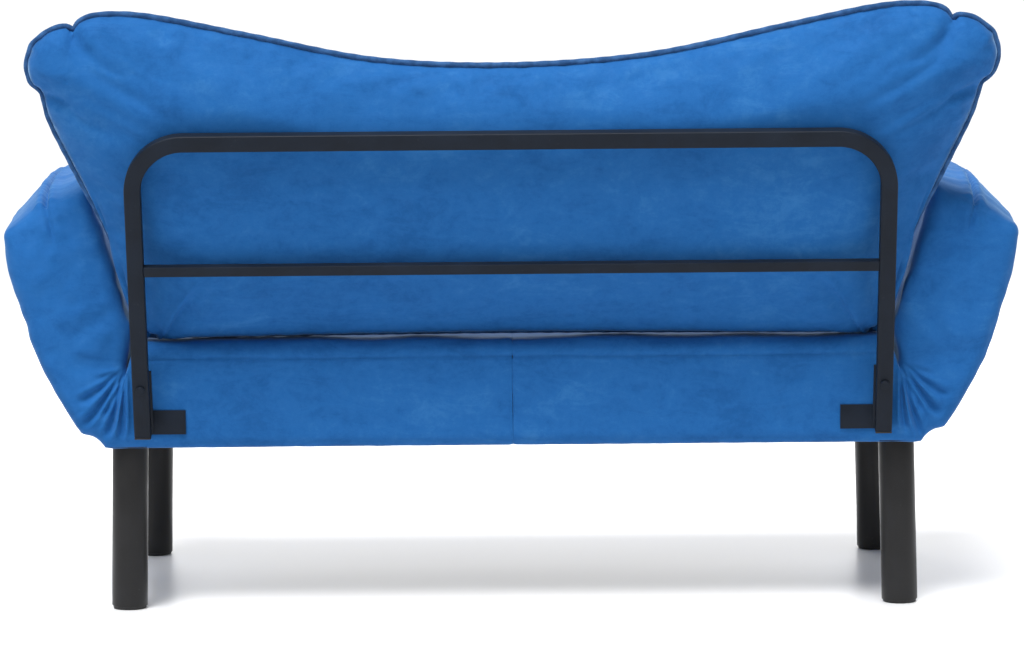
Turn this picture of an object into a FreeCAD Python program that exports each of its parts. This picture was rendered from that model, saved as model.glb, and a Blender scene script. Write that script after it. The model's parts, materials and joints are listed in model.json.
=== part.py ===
"""Futon sofa bed: a padded bench on four round legs, two arms that fold flat on
ratchet hinges, a bolted back hoop and one loose winged back cushion.

Frame: +Z up, the sitter faces -Y, the sitter's left is +X, the origin is on the
floor under the middle of the bounding box. Lengths are in millimetres.
"""
import FreeCAD
import Part
import os
import Sketcher

V = FreeCAD.Vector
ALONG_X, ALONG_Y, UP = V(1, 0, 0), V(0, 1, 0), V(0, 0, 1)

SIZES = {
    # bench
    "seat_depth": 583, "seat_underside": 252, "seat_top": 416,
    "seat_chamfer_run": 30, "seat_chamfer_rise": 20,
    "cover_wall": 1.5, "foam_gap": 0.3, "fold_gap": 2,
    # hinge axes
    "hinge_reach": 649, "hinge_rise": 56, "fold_angle": 75,
    # arms, measured in the arm's own frame from the hinge axis
    "arm_inner": 96, "arm_outer": 54, "arm_tip_inner": 319, "arm_tip_outer": 287,
    "arm_chamfer_start": 95, "arm_chamfer_depth": 34,
    "arm_tube": 25, "arm_tube_drop": 7, "arm_tube_start": 40, "arm_tube_end": 270,
    # bench frame
    "rail_height": 40, "rail_width": 25, "rail_wall": 1.5, "rail_lift": 5, "rail_inset": 14,
    "cross_rail_reach": 200, "strap_width": 50, "strap_thickness": 2, "strap_pitch": 150,
    "dust_cover_thickness": 0.8, "hem_width": 75,
    # hinges
    "leaf": 3, "layer_gap": 0.3, "disc_radius": 18, "ratchet_radius": 24,
    "notch_depth": 3.6, "notch_half_angle": 5.5, "notch_start": 130, "notch_count": 6,
    "notch_taper": 0.7, "rim_margin": 2, "tooth_root": 2.8, "tooth_tip": 2, "pawl_beak": 3,
    "leaf_neck_start": 55, "leaf_neck_end": 45, "disc_shoulder": 12.6,
    "seat_leaf_length": 107, "pawl_length": 25, "pawl_gap": 0.8, "pawl_boss": 4.5, "pawl_side": 115,
    "rivet_radius": 5, "rivet_head_radius": 8, "pin_radius": 2.5, "pin_head_radius": 4,
    "head_height": 1.5, "running_gap": 0.05, "hinge_room": 30, "hinge_pocket": 120,
    # legs
    "leg_inset": 61, "leg_front_inset": 45, "leg_rear_inset": 45, "leg_radius": 27.5,
    "leg_wall": 2, "leg_splay": 1.34, "leg_cap": 4, "foot_thickness": 5, "foot_plug": 14,
    "foot_rim": 1.5, "stud_radius": 5, "stud_rise": 20, "stud_drop": 14,
    "plate_length": 70, "plate_width": 56, "plate_thickness": 3,
    # back frame, measured up the lean from its foot
    "back_lean": 15.5, "back_foot_gap": 4.5, "back_foot_height": 278, "back_height": 486,
    "back_inset": 73, "back_tube_width": 25, "back_tube_depth": 20, "back_tube_wall": 1.5,
    "back_bend": 90, "crossbar": 15, "crossbar_wall": 1.2, "crossbar_height": 271,
    "plug_depth": 16, "plug_flange": 2,
    "bracket_thickness": 4, "bracket_overlap": 3, "bracket_height": 102,
    "bracket_foot_length": 77, "bracket_foot_low": 276, "bracket_foot_height": 37,
    "bolt_radius": 4, "bolt_head_radius": 7, "bolt_head_height": 4, "bolt_nut_height": 6,
    "bolt_height": 79, "weld_stud_near": 9, "weld_stud_far": 32, "weld_stud_height": 287,
    "weld_stud_length": 50, "weld_nut_radius": 7.5, "weld_nut_height": 6.5,
    # back cushion, measured up the lean from the foot of the hoop
    "cushion_thickness": 150, "cushion_edge": 60, "cushion_round": 75, "cushion_gap": 3,
    # its outline, in from the hinge axes or, for the ears, out past them
    "foot_in": 96, "waist_in": 70, "waist_height": 163, "side_in": 39, "side_height": 308,
    "ear_low_out": 9, "ear_low_height": 414, "ear_side_out": 49, "ear_side_height": 498,
    "ear_out": 67, "ear_height": 556, "ear_round_out": 53, "ear_round_height": 603,
    "ear_top_in": 9, "ear_top_height": 641, "crown_start_in": 109, "crown_start_height": 641,
    "crown_fall_in": 259, "crown_fall_height": 607, "crown_middle_in": 459,
    "crown_middle_height": 571, "crown_height": 561,
    "panel": 1.5, "piping_radius": 3,
}
PLACES = {
    "half_depth": "(sizes.seat_depth + sizes.back_foot_gap + sizes.back_height * sin(sizes.back_lean)"
                  " + sizes.back_tube_depth * cos(sizes.back_lean)) / 2",
    "seat_front": "-half_depth",
    "seat_rear": "seat_front + sizes.seat_depth",
    "seat_middle": "seat_front + sizes.seat_depth / 2",
    "hinge_height": "sizes.seat_underside + sizes.hinge_rise",
    "half_fold": "tan(sizes.fold_angle / 2)",
    "rail_low": "sizes.seat_underside + sizes.rail_lift",
    "rail_high": "rail_low + sizes.rail_height",
    "deck": "rail_high + sizes.strap_thickness + sizes.foam_gap",
    "layer": "sizes.leaf + sizes.layer_gap",
    "arm_tube_inset": "sizes.rail_inset - layer",
    "frame_room": "sizes.rail_inset - 2 * layer - sizes.head_height - sizes.foam_gap",
    "arm_tube_low": "-sizes.arm_tube_drop - sizes.arm_tube",
    "hinge_room_inset": "sizes.rail_inset + sizes.hinge_room",
    "back_foot": "seat_rear + sizes.back_foot_gap",
    "leg_reach": "sizes.hinge_reach - sizes.leg_inset",
    "back_reach": "sizes.hinge_reach - sizes.back_inset",
    "bracket_inner": "back_reach - sizes.bracket_foot_length",
    "leg_run": "sizes.seat_underside - sizes.foot_thickness",
    "rail_reach": "leg_reach + sizes.rail_width / 2",
    "leg_foot_reach": "leg_reach + leg_run * tan(sizes.leg_splay)",
    "leg_front": "seat_front + sizes.leg_front_inset",
    "leg_rear": "seat_rear - sizes.leg_rear_inset",
    "upright_inner": "back_reach - sizes.back_tube_width",
}

doc = FreeCAD.newDocument("futon_sofa_bed")
nodes = {}


def fill_sheet(name, rows, prefix=""):
    """A sheet with one aliased cell in column B for each named row."""
    sheet = doc.addObject("Spreadsheet::Sheet", name)
    for row, (alias, content) in enumerate(rows.items(), start=1):
        sheet.set(f"A{row}", alias)
        sheet.set(f"B{row}", prefix + str(content))
        sheet.setAlias(f"B{row}", alias)
    doc.recompute()
    return sheet


fill_sheet("sizes", SIZES)
fill_sheet("places", PLACES, "=")
reader = doc.addObject("App::FeaturePython", "reader")
reader.addProperty("App::PropertyFloat", "result")


def value(formula):
    """What a formula on the sheets comes to."""
    reader.setExpression("result", formula)
    reader.recompute()
    return reader.result


# ---------------------------------------------------------------- small builders

def put(thing, x="0", y="0", z="0", axis=ALONG_Y, angle="0"):
    """Binds where an object stands and how it is turned to the sheets."""
    thing.Placement = FreeCAD.Placement(V(0, 0, 0), FreeCAD.Rotation(axis, 10))
    for path, formula in (("Base.x", x), ("Base.y", y), ("Base.z", z), ("Rotation.Angle", angle)):
        thing.setExpression("Placement." + path, formula)
    return thing


def new_body(label):
    body = doc.addObject("PartDesign::Body", label)
    body.Label = label
    return body


def new_sketch(body, plane, offset="0"):
    """A sketch on one of the body's own origin planes, moved along its normal."""
    sketch = body.newObject("Sketcher::SketchObject", "outline")
    role = [p for p in body.Origin.OriginFeatures if p.Role == plane][0]
    sketch.AttachmentSupport = [(role, "")]
    sketch.MapMode = "FlatFace"
    sketch.setExpression("AttachmentOffset.Base.z", offset)
    return sketch


def pin_point(sketch, shape, end, point):
    """Fixes one end of a sketch edge at a pair of formulas, or at an X alone."""
    for kind, formula in zip(("DistanceX", "DistanceY"), point):
        rule = sketch.addConstraint(Sketcher.Constraint(kind, -1, 1, shape, end, value(formula)))
        sketch.setExpression(f"Constraints[{rule}]", formula)


def polygon(sketch, points):
    first = sketch.GeometryCount
    corners = [V(value(a), value(b), 0) for a, b in points]
    count = len(points)
    for index in range(count):
        sketch.addGeometry(Part.LineSegment(corners[index], corners[(index + 1) % count]), False)
    for index in range(count):
        following = first + (index + 1) % count
        sketch.addConstraint(Sketcher.Constraint("Coincident", first + index, 2, following, 1))
        pin_point(sketch, first + index, 1, points[index])


def circle(sketch, centre, radius):
    middle = V(value(centre[0]), value(centre[1]), 0)
    shape = sketch.addGeometry(Part.Circle(middle, UP, value(radius)), False)
    pin_point(sketch, shape, 3, centre)
    rule = sketch.addConstraint(Sketcher.Constraint("Radius", shape, value(radius)))
    sketch.setExpression(f"Constraints[{rule}]", radius)


def rectangle(low, high):
    return [(low[0], low[1]), (high[0], low[1]), (high[0], high[1]), (low[0], high[1])]


def pad(body, sketch, length):
    feature = body.newObject("PartDesign::Pad", "pad")
    feature.Profile = sketch
    feature.Midplane = True
    feature.setExpression("Length", length)
    sketch.Visibility = False
    return feature


def pocket(body, sketch, length=None):
    """Cuts half the length each way from the sketch, or right through the body."""
    feature = body.newObject("PartDesign::Pocket", "pocket")
    feature.Profile = sketch
    feature.Midplane = True
    if length is None:
        feature.Type = "ThroughAll"
    else:
        feature.setExpression("Length", length)
    return feature


def plate(label, points, thickness):
    """A flat piece drawn in the XZ plane, as thick as stated about that plane."""
    body = new_body(label)
    sketch = new_sketch(body, "XZ_Plane")
    polygon(sketch, points)
    pad(body, sketch, thickness)
    return body


def cut_outline(body, points, length=None, offset="0", plane="XZ_Plane"):
    sketch = new_sketch(body, plane, offset)
    polygon(sketch, points)
    return pocket(body, sketch, length)


def cut_holes(body, plane, centres, radius):
    sketch = new_sketch(body, plane)
    for centre in centres:
        circle(sketch, centre, radius)
    return pocket(body, sketch)


def pad_disc(body, centre, radius, low, high):
    """A round boss along Y between two distances from the body's XZ plane."""
    sketch = new_sketch(body, "XZ_Plane", f"-(({low}) + ({high})) / 2")
    circle(sketch, centre, radius)
    return pad(body, sketch, f"({high}) - ({low})")


def tube(label, low, high, width, wall, along):
    """A box section from low to high in XZ, hollow along the named axis."""
    body = plate(label, rectangle(low, high), width)
    if along == "X":
        inner = rectangle((f"-({width}) / 2 + {wall}", f"{low[1]} + {wall}"),
                          (f"({width}) / 2 - {wall}", f"{high[1]} - {wall}"))
        cut_outline(body, inner, plane="YZ_Plane")
    elif along == "Y":
        cut_outline(body, rectangle((f"{low[0]} + {wall}", f"{low[1]} + {wall}"),
                                    (f"{high[0]} - {wall}", f"{high[1]} - {wall}")))
    else:
        inner = rectangle((f"{low[0]} + {wall}", f"-({width}) / 2 + {wall}"),
                          (f"{high[0]} - {wall}", f"({width}) / 2 - {wall}"))
        cut_outline(body, inner, plane="XY_Plane")
    return body


def group(label, members):
    compound = doc.addObject("Part::Compound", label)
    compound.Links = members
    return compound


def keep(thing, label):
    """Names an object as one of the sofa's pieces."""
    thing.Label = label
    nodes[label] = thing
    return thing


def times(sign, formula):
    return formula if sign > 0 else f"-({formula})"


SIDES = (("left", 1), ("right", -1))
ENDS = (("front", -1), ("rear", 1))


def end_plane(end, inset):
    """Y of a plane set in from the bench's front or rear face."""
    face = "places.seat_rear" if end > 0 else "places.seat_front"
    return f"{face} - ({times(end, inset)})"


def mirrored(points):
    """The right half of an outline, then its mirror image in reverse order."""
    return points + [(f"-({x})", z) for x, z in reversed(points)]


# ---------------------------------------------------------------- bench

def bench_outline(inset):
    """End view of the bench: flat ends below the hinge axes, mitred above them."""
    top = f"sizes.seat_top - {inset}"
    end = "sizes.hinge_reach - sizes.fold_gap"
    mitre = f"{end} - (sizes.seat_top - {inset} - places.hinge_height) * places.half_fold"
    low = f"sizes.seat_underside + {inset}"
    return mirrored([(f"{end} - sizes.seat_chamfer_run", low),
                     (end, f"{low} + sizes.seat_chamfer_rise"),
                     (end, "places.hinge_height"),
                     (mitre, top)])


def stud_spots():
    """Where the back frame's welded studs enter the rear of the bench."""
    return [(times(side, f"places.bracket_inner + sizes.weld_stud_{spot}"), "sizes.weld_stud_height")
            for _, side in SIDES for spot in ("near", "far")]


def make_bench_frame():
    depth = "(sizes.seat_depth - 2 * sizes.rail_inset)"
    for name, end in ENDS:
        rail = tube(f"{name}_rail", ("-places.rail_reach", "places.rail_low"),
                    ("places.rail_reach", "places.rail_high"), "sizes.rail_width",
                    "sizes.rail_wall", "X")
        if end > 0:
            cut_holes(rail, "XZ_Plane", stud_spots(), "sizes.bolt_radius + sizes.running_gap")
        put(rail, y=end_plane(end, "sizes.rail_inset + sizes.rail_width / 2"))
        keep(rail, f"{name}_rail")
    inner = f"({depth} - 2 * sizes.rail_width)"
    for name, side in SIDES:
        for kind, reach in (("end", "places.leg_reach"), ("cross", "sizes.cross_rail_reach")):
            rail = tube(f"{name}_{kind}_rail", ("-sizes.rail_width / 2", "places.rail_low"),
                        ("sizes.rail_width / 2", "places.rail_high"), inner,
                        "sizes.rail_wall", "Y")
            if kind == "end":
                spots = [("0", "places.leg_front - places.seat_middle"),
                         ("0", "places.leg_rear - places.seat_middle")]
                cut_holes(rail, "XY_Plane", spots, "sizes.stud_radius + sizes.running_gap")
            put(rail, x=times(side, reach), y="places.seat_middle")
            keep(rail, f"{name}_{kind}_rail")


def make_webbing():
    straps = []
    for step in range(-3, 4):
        strap = doc.addObject("Part::Box", "strap")
        strap.setExpression("Length", "sizes.strap_width")
        strap.setExpression("Width", "sizes.seat_depth - 2 * sizes.rail_inset")
        strap.setExpression("Height", "sizes.strap_thickness")
        put(strap, x=f"{step} * sizes.strap_pitch - sizes.strap_width / 2",
            y="places.seat_front + sizes.rail_inset", z="places.rail_high")
        straps.append(strap)
    keep(group("seat_webbing", straps), "seat_webbing")


def make_seat_foam():
    foam = plate("seat_foam", bench_outline("sizes.cover_wall"),
                 "sizes.seat_depth - 2 * sizes.cover_wall")
    room = "places.leg_reach + sizes.plate_width / 2 + sizes.foam_gap"
    cut_outline(foam, rectangle((f"-({room})", "0"), (room, "places.deck")),
                "sizes.seat_depth - 2 * places.frame_room")
    for _, side in SIDES:
        for _, end in ENDS:
            inner = times(side, "sizes.hinge_reach - 4 * sizes.hinge_room")
            outer = times(side, "sizes.hinge_reach + sizes.hinge_room")
            middle = f"(sizes.seat_depth - places.frame_room - places.hinge_room_inset) / 2"
            cut_outline(foam, rectangle((inner, "0"),
                                        (outer, "places.hinge_height + sizes.hinge_room")),
                        "places.hinge_room_inset - places.frame_room",
                        offset=times(-end, middle))
    cut_holes(foam, "XZ_Plane", stud_spots(), "sizes.bolt_radius + sizes.foam_gap")
    put(foam, y="places.seat_middle")
    keep(foam, "seat_foam")


def make_seat_cover():
    cover = plate("seat_cover", bench_outline("0"), "sizes.seat_depth")
    wall = "sizes.cover_wall"
    end = "sizes.hinge_reach"
    inside = mirrored([(f"{end} - sizes.seat_chamfer_run - sizes.fold_gap", f"sizes.seat_underside + {wall}"),
                       (f"{end}", f"sizes.seat_underside + {wall} + sizes.seat_chamfer_rise"),
                       (f"{end}", f"sizes.seat_top - {wall}")])
    cut_outline(cover, inside, f"sizes.seat_depth - 2 * {wall}")
    opening = "places.leg_reach - sizes.plate_width / 2 - sizes.hem_width / 2"
    cut_outline(cover, rectangle((f"-({opening})", "0"), (opening, f"sizes.seat_underside + {wall}")),
                "sizes.seat_depth - 2 * sizes.hem_width")
    spots = [(times(side, "places.leg_reach"), f"places.leg_{name} - places.seat_middle")
             for _, side in SIDES for name, _ in ENDS]
    sketch = new_sketch(cover, "XY_Plane", "sizes.seat_underside")
    for spot in spots:
        circle(sketch, spot, "sizes.stud_radius + sizes.foam_gap")
    pocket(cover, sketch, "4 * sizes.cover_wall")
    sketch = new_sketch(cover, "XZ_Plane", "-sizes.seat_depth / 2")
    for spot in stud_spots():
        circle(sketch, spot, "sizes.bolt_radius + sizes.foam_gap")
    pocket(cover, sketch, "4 * sizes.cover_wall")
    put(cover, y="places.seat_middle")
    keep(cover, "seat_cover")


def make_dust_cover():
    reach = "places.leg_reach - sizes.plate_width / 2 - sizes.foam_gap"
    low = "sizes.seat_underside + sizes.cover_wall"
    panel = plate("dust_cover", rectangle((f"-({reach})", low),
                                          (reach, f"{low} + sizes.dust_cover_thickness")),
                  "sizes.seat_depth - 2 * sizes.rail_inset")
    put(panel, y="places.seat_middle")
    keep(panel, "dust_cover")


# ---------------------------------------------------------------- legs

def leg_section(body, height, reach, radius):
    sketch = new_sketch(body, "XY_Plane", height)
    circle(sketch, (reach, "0"), radius)
    return sketch


def make_legs():
    plates, studs = [], []
    for side_name, side in SIDES:
        for end_name, end in ENDS:
            label = f"{side_name}_{end_name}_leg"
            y = f"places.leg_{end_name}"
            foot, top = times(side, "places.leg_foot_reach"), times(side, "places.leg_reach")
            slope = f"({foot} - ({top})) / places.leg_run"
            leg = new_body(label)
            low = leg_section(leg, "sizes.foot_thickness", foot, "sizes.leg_radius")
            high = leg_section(leg, "sizes.seat_underside", top, "sizes.leg_radius")
            loft = leg.newObject("PartDesign::AdditiveLoft", "loft")
            loft.Profile = low
            loft.Sections = [high]
            bore = "sizes.leg_radius - sizes.leg_wall"
            low = leg_section(leg, "sizes.foot_thickness", foot, bore)
            cap = "sizes.seat_underside - sizes.leg_cap"
            high = leg_section(leg, cap, f"{top} + {slope} * sizes.leg_cap", bore)
            hollow = leg.newObject("PartDesign::SubtractiveLoft", "hollow")
            hollow.Profile = low
            hollow.Sections = [high]
            cut_holes(leg, "XY_Plane", [(top, "0")], "sizes.stud_radius + sizes.running_gap")
            put(leg, y=y)
            keep(leg, label)

            foot_cap = new_body(f"{label}_foot")
            rim = leg_section(foot_cap, "sizes.foot_thickness / 2", foot,
                              "sizes.leg_radius - sizes.foot_rim")
            pad(foot_cap, rim, "sizes.foot_thickness")
            plug = leg_section(foot_cap, "sizes.foot_thickness + sizes.foot_plug / 2",
                               f"{foot} - {slope} * sizes.foot_plug / 2",
                               f"{bore} - sizes.foam_gap - sizes.foot_plug * tan(sizes.leg_splay) / 2")
            pad(foot_cap, plug, "sizes.foot_plug")
            put(foot_cap, y=y)
            keep(foot_cap, f"{side_name}_{end_name}_foot")

            low, high = "places.rail_low - sizes.plate_thickness", "places.rail_low"
            reach = "sizes.plate_width / 2"
            mounting = plate("leg_plate", rectangle((f"-{reach}", low), (reach, high)),
                             "sizes.plate_length")
            cut_holes(mounting, "XY_Plane", [("0", "0")], "sizes.stud_radius + sizes.running_gap")
            plates.append(put(mounting, x=top, y=y))

            stud = doc.addObject("Part::Cylinder", "stud")
            stud.setExpression("Radius", "sizes.stud_radius")
            stud.setExpression("Height", "sizes.stud_drop + sizes.stud_rise")
            studs.append(put(stud, x=top, y=y, z="sizes.seat_underside - sizes.stud_drop"))
    keep(group("leg_plates", plates), "leg_plates")
    keep(group("leg_studs", studs), "leg_studs")


# ---------------------------------------------------------------- hinges

def polar(radius, angle, side):
    """A point about the hinge axis, angles counted up from the outward direction."""
    return times(side, f"({radius}) * cos({angle})"), f"({radius}) * sin({angle})"


def pawl_pivot(side):
    x = f"sizes.ratchet_radius * cos({PAWL_ANGLE}) + sizes.pawl_length * cos(sizes.pawl_side)"
    z = f"sizes.ratchet_radius * sin({PAWL_ANGLE}) + sizes.pawl_length * sin(sizes.pawl_side)"
    return times(side, x), z


PAWL_ANGLE = "(sizes.notch_start + sizes.fold_angle)"


def pawl_point(along, inward, side):
    """A point of the pawl, lifted: along its length and inward to the ratchet."""
    x0, z0 = pawl_pivot(1)
    turn = "(sizes.pawl_side + 180)"
    x = f"{x0} + ({along}) * cos({turn}) - ({inward}) * sin({turn})"
    z = f"{z0} + ({along}) * sin({turn}) + ({inward}) * cos({turn})"
    return times(side, x), z


def layer_centre(end, low):
    """Y of a hinge layer's middle, counted outward from the rails' outer plane."""
    return end_plane(end, f"sizes.rail_inset - ({low}) - sizes.leaf / 2")


def make_seat_leaf(label, side, end):
    low = "-(places.hinge_height - places.rail_low)"
    leaf = plate(label, [(times(side, x), z) for x, z in (
        ("-sizes.seat_leaf_length", low),
        ("-sizes.leaf_neck_start", low),
        ("sizes.disc_shoulder", "-sizes.disc_shoulder"),
        ("sizes.disc_shoulder", "sizes.disc_shoulder"),
        ("-sizes.leaf_neck_end", "sizes.disc_radius + 2 * sizes.running_gap"),
        ("-2 * sizes.hinge_room", "-(places.hinge_height - places.rail_high)"),
        ("-sizes.seat_leaf_length", "-(places.hinge_height - places.rail_high)"))],
        "sizes.leaf")
    pad_disc(leaf, ("0", "0"), "sizes.disc_radius", "-sizes.leaf / 2", "sizes.leaf / 2")
    cut_holes(leaf, "XZ_Plane", [("0", "0")], "sizes.rivet_radius + sizes.running_gap")
    cut_holes(leaf, "XZ_Plane", [pawl_pivot(side)], "sizes.pin_radius + sizes.running_gap")
    put(leaf, x=times(side, "sizes.hinge_reach"), y=layer_centre(end, "0"),
        z="places.hinge_height")
    keep(leaf, label)


def make_arm_leaf(label, side, end):
    """The arm's plate: a strap on the arm's tube and a notched ratchet disc."""
    top, low = "-sizes.arm_tube_drop", "places.arm_tube_low"
    leaf = plate(label, [(times(side, x), z) for x, z in (
        ("0", "sizes.rivet_radius"), ("-2 * sizes.rivet_radius", "-2 * sizes.rivet_radius"),
        ("sizes.rivet_radius", "-sizes.disc_radius"),
        ("sizes.arm_tube_start", low), ("3 * sizes.arm_tube_start", low),
        ("3 * sizes.arm_tube_start", top), ("sizes.arm_tube_start", top))], "sizes.leaf")
    pad_disc(leaf, ("0", "0"), "sizes.ratchet_radius", "-sizes.leaf / 2", "sizes.leaf / 2")
    cut_holes(leaf, "XZ_Plane", [("0", "0")], "sizes.rivet_radius + sizes.running_gap")
    root, rim = "sizes.ratchet_radius - sizes.notch_depth", "sizes.ratchet_radius + sizes.rim_margin"
    spread = "sizes.notch_half_angle"
    notch = cut_outline(leaf, [polar(root, f"sizes.notch_start - {spread} * sizes.notch_taper", side),
                               polar(rim, f"sizes.notch_start - {spread}", side),
                               polar(rim, f"sizes.notch_start + {spread}", side),
                               polar(root, f"sizes.notch_start + {spread} * sizes.notch_taper", side)])
    doc.recompute()
    notches = leaf.newObject("PartDesign::PolarPattern", "notches")
    notches.Originals = [notch]
    y_axis = [p for p in leaf.Origin.OriginFeatures if p.Role == "Y_Axis"][0]
    notches.Axis = (y_axis, [""])
    notches.setExpression("Angle", "sizes.fold_angle")
    notches.setExpression("Occurrences", "sizes.notch_count")
    notches.Reversed = side > 0
    leaf.Tip = notches
    put(leaf, x=times(side, "sizes.hinge_reach"), y=layer_centre(end, "places.layer"),
        z="places.hinge_height", angle=times(-side, "sizes.fold_angle"))
    keep(leaf, label)


def make_pawl(label, side, end):
    tooth, back = "-sizes.pawl_gap", "-sizes.pawl_gap - sizes.notch_depth"
    pawl = plate(label, [pawl_point(a, b, side) for a, b in (
        ("0", "-sizes.pawl_boss"), ("sizes.pawl_length + sizes.pawl_beak", f"{back} - sizes.pawl_boss"),
        ("sizes.pawl_length + sizes.pawl_beak", back),
        ("sizes.pawl_length + sizes.tooth_root / 2", back),
        ("sizes.pawl_length + sizes.tooth_tip / 2", tooth),
        ("sizes.pawl_length - sizes.tooth_tip / 2", tooth),
        ("sizes.pawl_length - sizes.tooth_root / 2", back), ("sizes.pawl_boss", "0"), ("0", "sizes.pin_radius"))],
        "sizes.leaf")
    pad_disc(pawl, pawl_pivot(side), "sizes.pawl_boss", "-sizes.leaf / 2", "sizes.leaf / 2")
    cut_holes(pawl, "XZ_Plane", [pawl_pivot(side)], "sizes.pin_radius + sizes.running_gap")
    put(pawl, x=times(side, "sizes.hinge_reach"), y=layer_centre(end, "places.layer"),
        z="places.hinge_height")
    keep(pawl, label)


def make_rivet(label, side, end, centre, radius, head):
    """A headed pin through both hinge layers, standing in the bench's frame."""
    rivet = new_body(label)
    outer = "2 * places.layer"
    spans = ((radius, "-sizes.head_height", outer), (head, "-sizes.head_height", "0"),
             (head, outer, f"{outer} + sizes.head_height"))
    for size, low, high in spans:
        ends = (low, high) if end > 0 else (f"-({high})", f"-({low})")
        pad_disc(rivet, centre, size, *ends)
    return put(rivet, x=times(side, "sizes.hinge_reach"), y=end_plane(end, "sizes.rail_inset"),
               z="places.hinge_height")


def make_hinges():
    pivots, pins = [], []
    for side_name, side in SIDES:
        for end_name, end in ENDS:
            name = f"{side_name}_{end_name}"
            make_seat_leaf(f"{name}_seat_leaf", side, end)
            make_arm_leaf(f"{name}_arm_leaf", side, end)
            make_pawl(f"{name}_pawl", side, end)
            pivots.append(make_rivet("pivot", side, end, ("0", "0"), "sizes.rivet_radius",
                                     "sizes.rivet_head_radius"))
            pins.append(make_rivet("pin", side, end, pawl_pivot(side), "sizes.pin_radius",
                                   "sizes.pin_head_radius"))
    keep(group("hinge_rivets", pivots), "hinge_rivets")
    keep(group("pawl_pins", pins), "pawl_pins")


# ---------------------------------------------------------------- arms

def arm_outline(inset, side, root="sizes.fold_gap"):
    top, low = f"sizes.arm_inner - {inset}", f"-(sizes.arm_outer - {inset})"
    return [(times(side, x), z) for x, z in (
        (f"{root} + ({top}) * places.half_fold", top),
        (f"sizes.arm_tip_inner - {inset}", top),
        (f"sizes.arm_tip_outer - {inset}", low),
        ("sizes.arm_chamfer_start", low),
        (root, f"-(sizes.arm_chamfer_depth - {inset})"),
        (root, "0"))]


def place_arm_piece(piece, side, y="places.seat_middle"):
    """Arm pieces are drawn lying flat and stored raised by the fold angle."""
    put(piece, x=times(side, "sizes.hinge_reach"), y=y, z="places.hinge_height",
        angle=times(-side, "sizes.fold_angle"))


def make_arm_tubes(name, side):
    low, top = "places.arm_tube_low", "-sizes.arm_tube_drop"
    start, finish = "sizes.arm_tube_start", "sizes.arm_tube_end"
    for end_name, end in ENDS:
        bar = tube(f"{name}_arm_{end_name}_tube", (times(side, start), low),
                   (times(side, finish), top), "sizes.arm_tube", "sizes.rail_wall", "X")
        place_arm_piece(bar, side, end_plane(end, "places.arm_tube_inset + sizes.arm_tube / 2"))
        keep(bar, f"{name}_arm_{end_name}_tube")
    inner = "sizes.seat_depth - 2 * places.arm_tube_inset - 2 * sizes.arm_tube"
    for kind, near, far in (("root", start, f"{start} + sizes.arm_tube"),
                            ("tip", f"{finish} - sizes.arm_tube", finish)):
        bar = tube(f"{name}_arm_{kind}_tube",
                   (near if side > 0 else f"-({far})", low),
                   (far if side > 0 else f"-({near})", top), inner, "sizes.rail_wall", "Y")
        place_arm_piece(bar, side)
        keep(bar, f"{name}_arm_{kind}_tube")


def make_arm_foam(name, side):
    foam = plate(f"{name}_arm_foam", arm_outline("sizes.cover_wall", side),
                 "sizes.seat_depth - 2 * sizes.cover_wall")
    near = times(side, "sizes.arm_tube_start - sizes.foam_gap")
    far = times(side, "sizes.arm_tube_end + sizes.foam_gap")
    below = "-2 * sizes.arm_outer"
    cut_outline(foam, rectangle((near, below), (far, "-sizes.arm_tube_drop + sizes.foam_gap")),
                "sizes.seat_depth - 2 * places.frame_room")
    for _, end in ENDS:
        middle = "(sizes.seat_depth - places.frame_room - places.hinge_room_inset) / 2"
        cut_outline(foam, rectangle((times(side, "-sizes.hinge_room"), below),
                                    (times(side, "sizes.hinge_pocket"), "sizes.hinge_room")),
                    "places.hinge_room_inset - places.frame_room", offset=times(-end, middle))
    place_arm_piece(foam, side)
    keep(foam, f"{name}_arm_foam")


def make_arm_cover(name, side):
    cover = plate(f"{name}_arm_cover", arm_outline("0", side), "sizes.seat_depth")
    wall = "sizes.cover_wall"
    inside = arm_outline(wall, side)
    inside[0] = (times(side, "-sizes.hinge_room"), f"sizes.arm_inner - {wall}")
    inside[4] = (times(side, "0"), f"-(sizes.arm_chamfer_depth - {wall})")
    inside[5] = (times(side, "-sizes.hinge_room"), f"-(sizes.arm_chamfer_depth - {wall})")
    cut_outline(cover, inside, f"sizes.seat_depth - 2 * {wall}")
    place_arm_piece(cover, side)
    keep(cover, f"{name}_arm_cover")


# ---------------------------------------------------------------- back frame

def lean(piece, x="0"):
    """Back pieces are drawn upright from the hoop's foot and leaned back together."""
    put(piece, x=x, y="places.back_foot", z="sizes.back_foot_height", axis=ALONG_X,
        angle="-sizes.back_lean")


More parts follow.
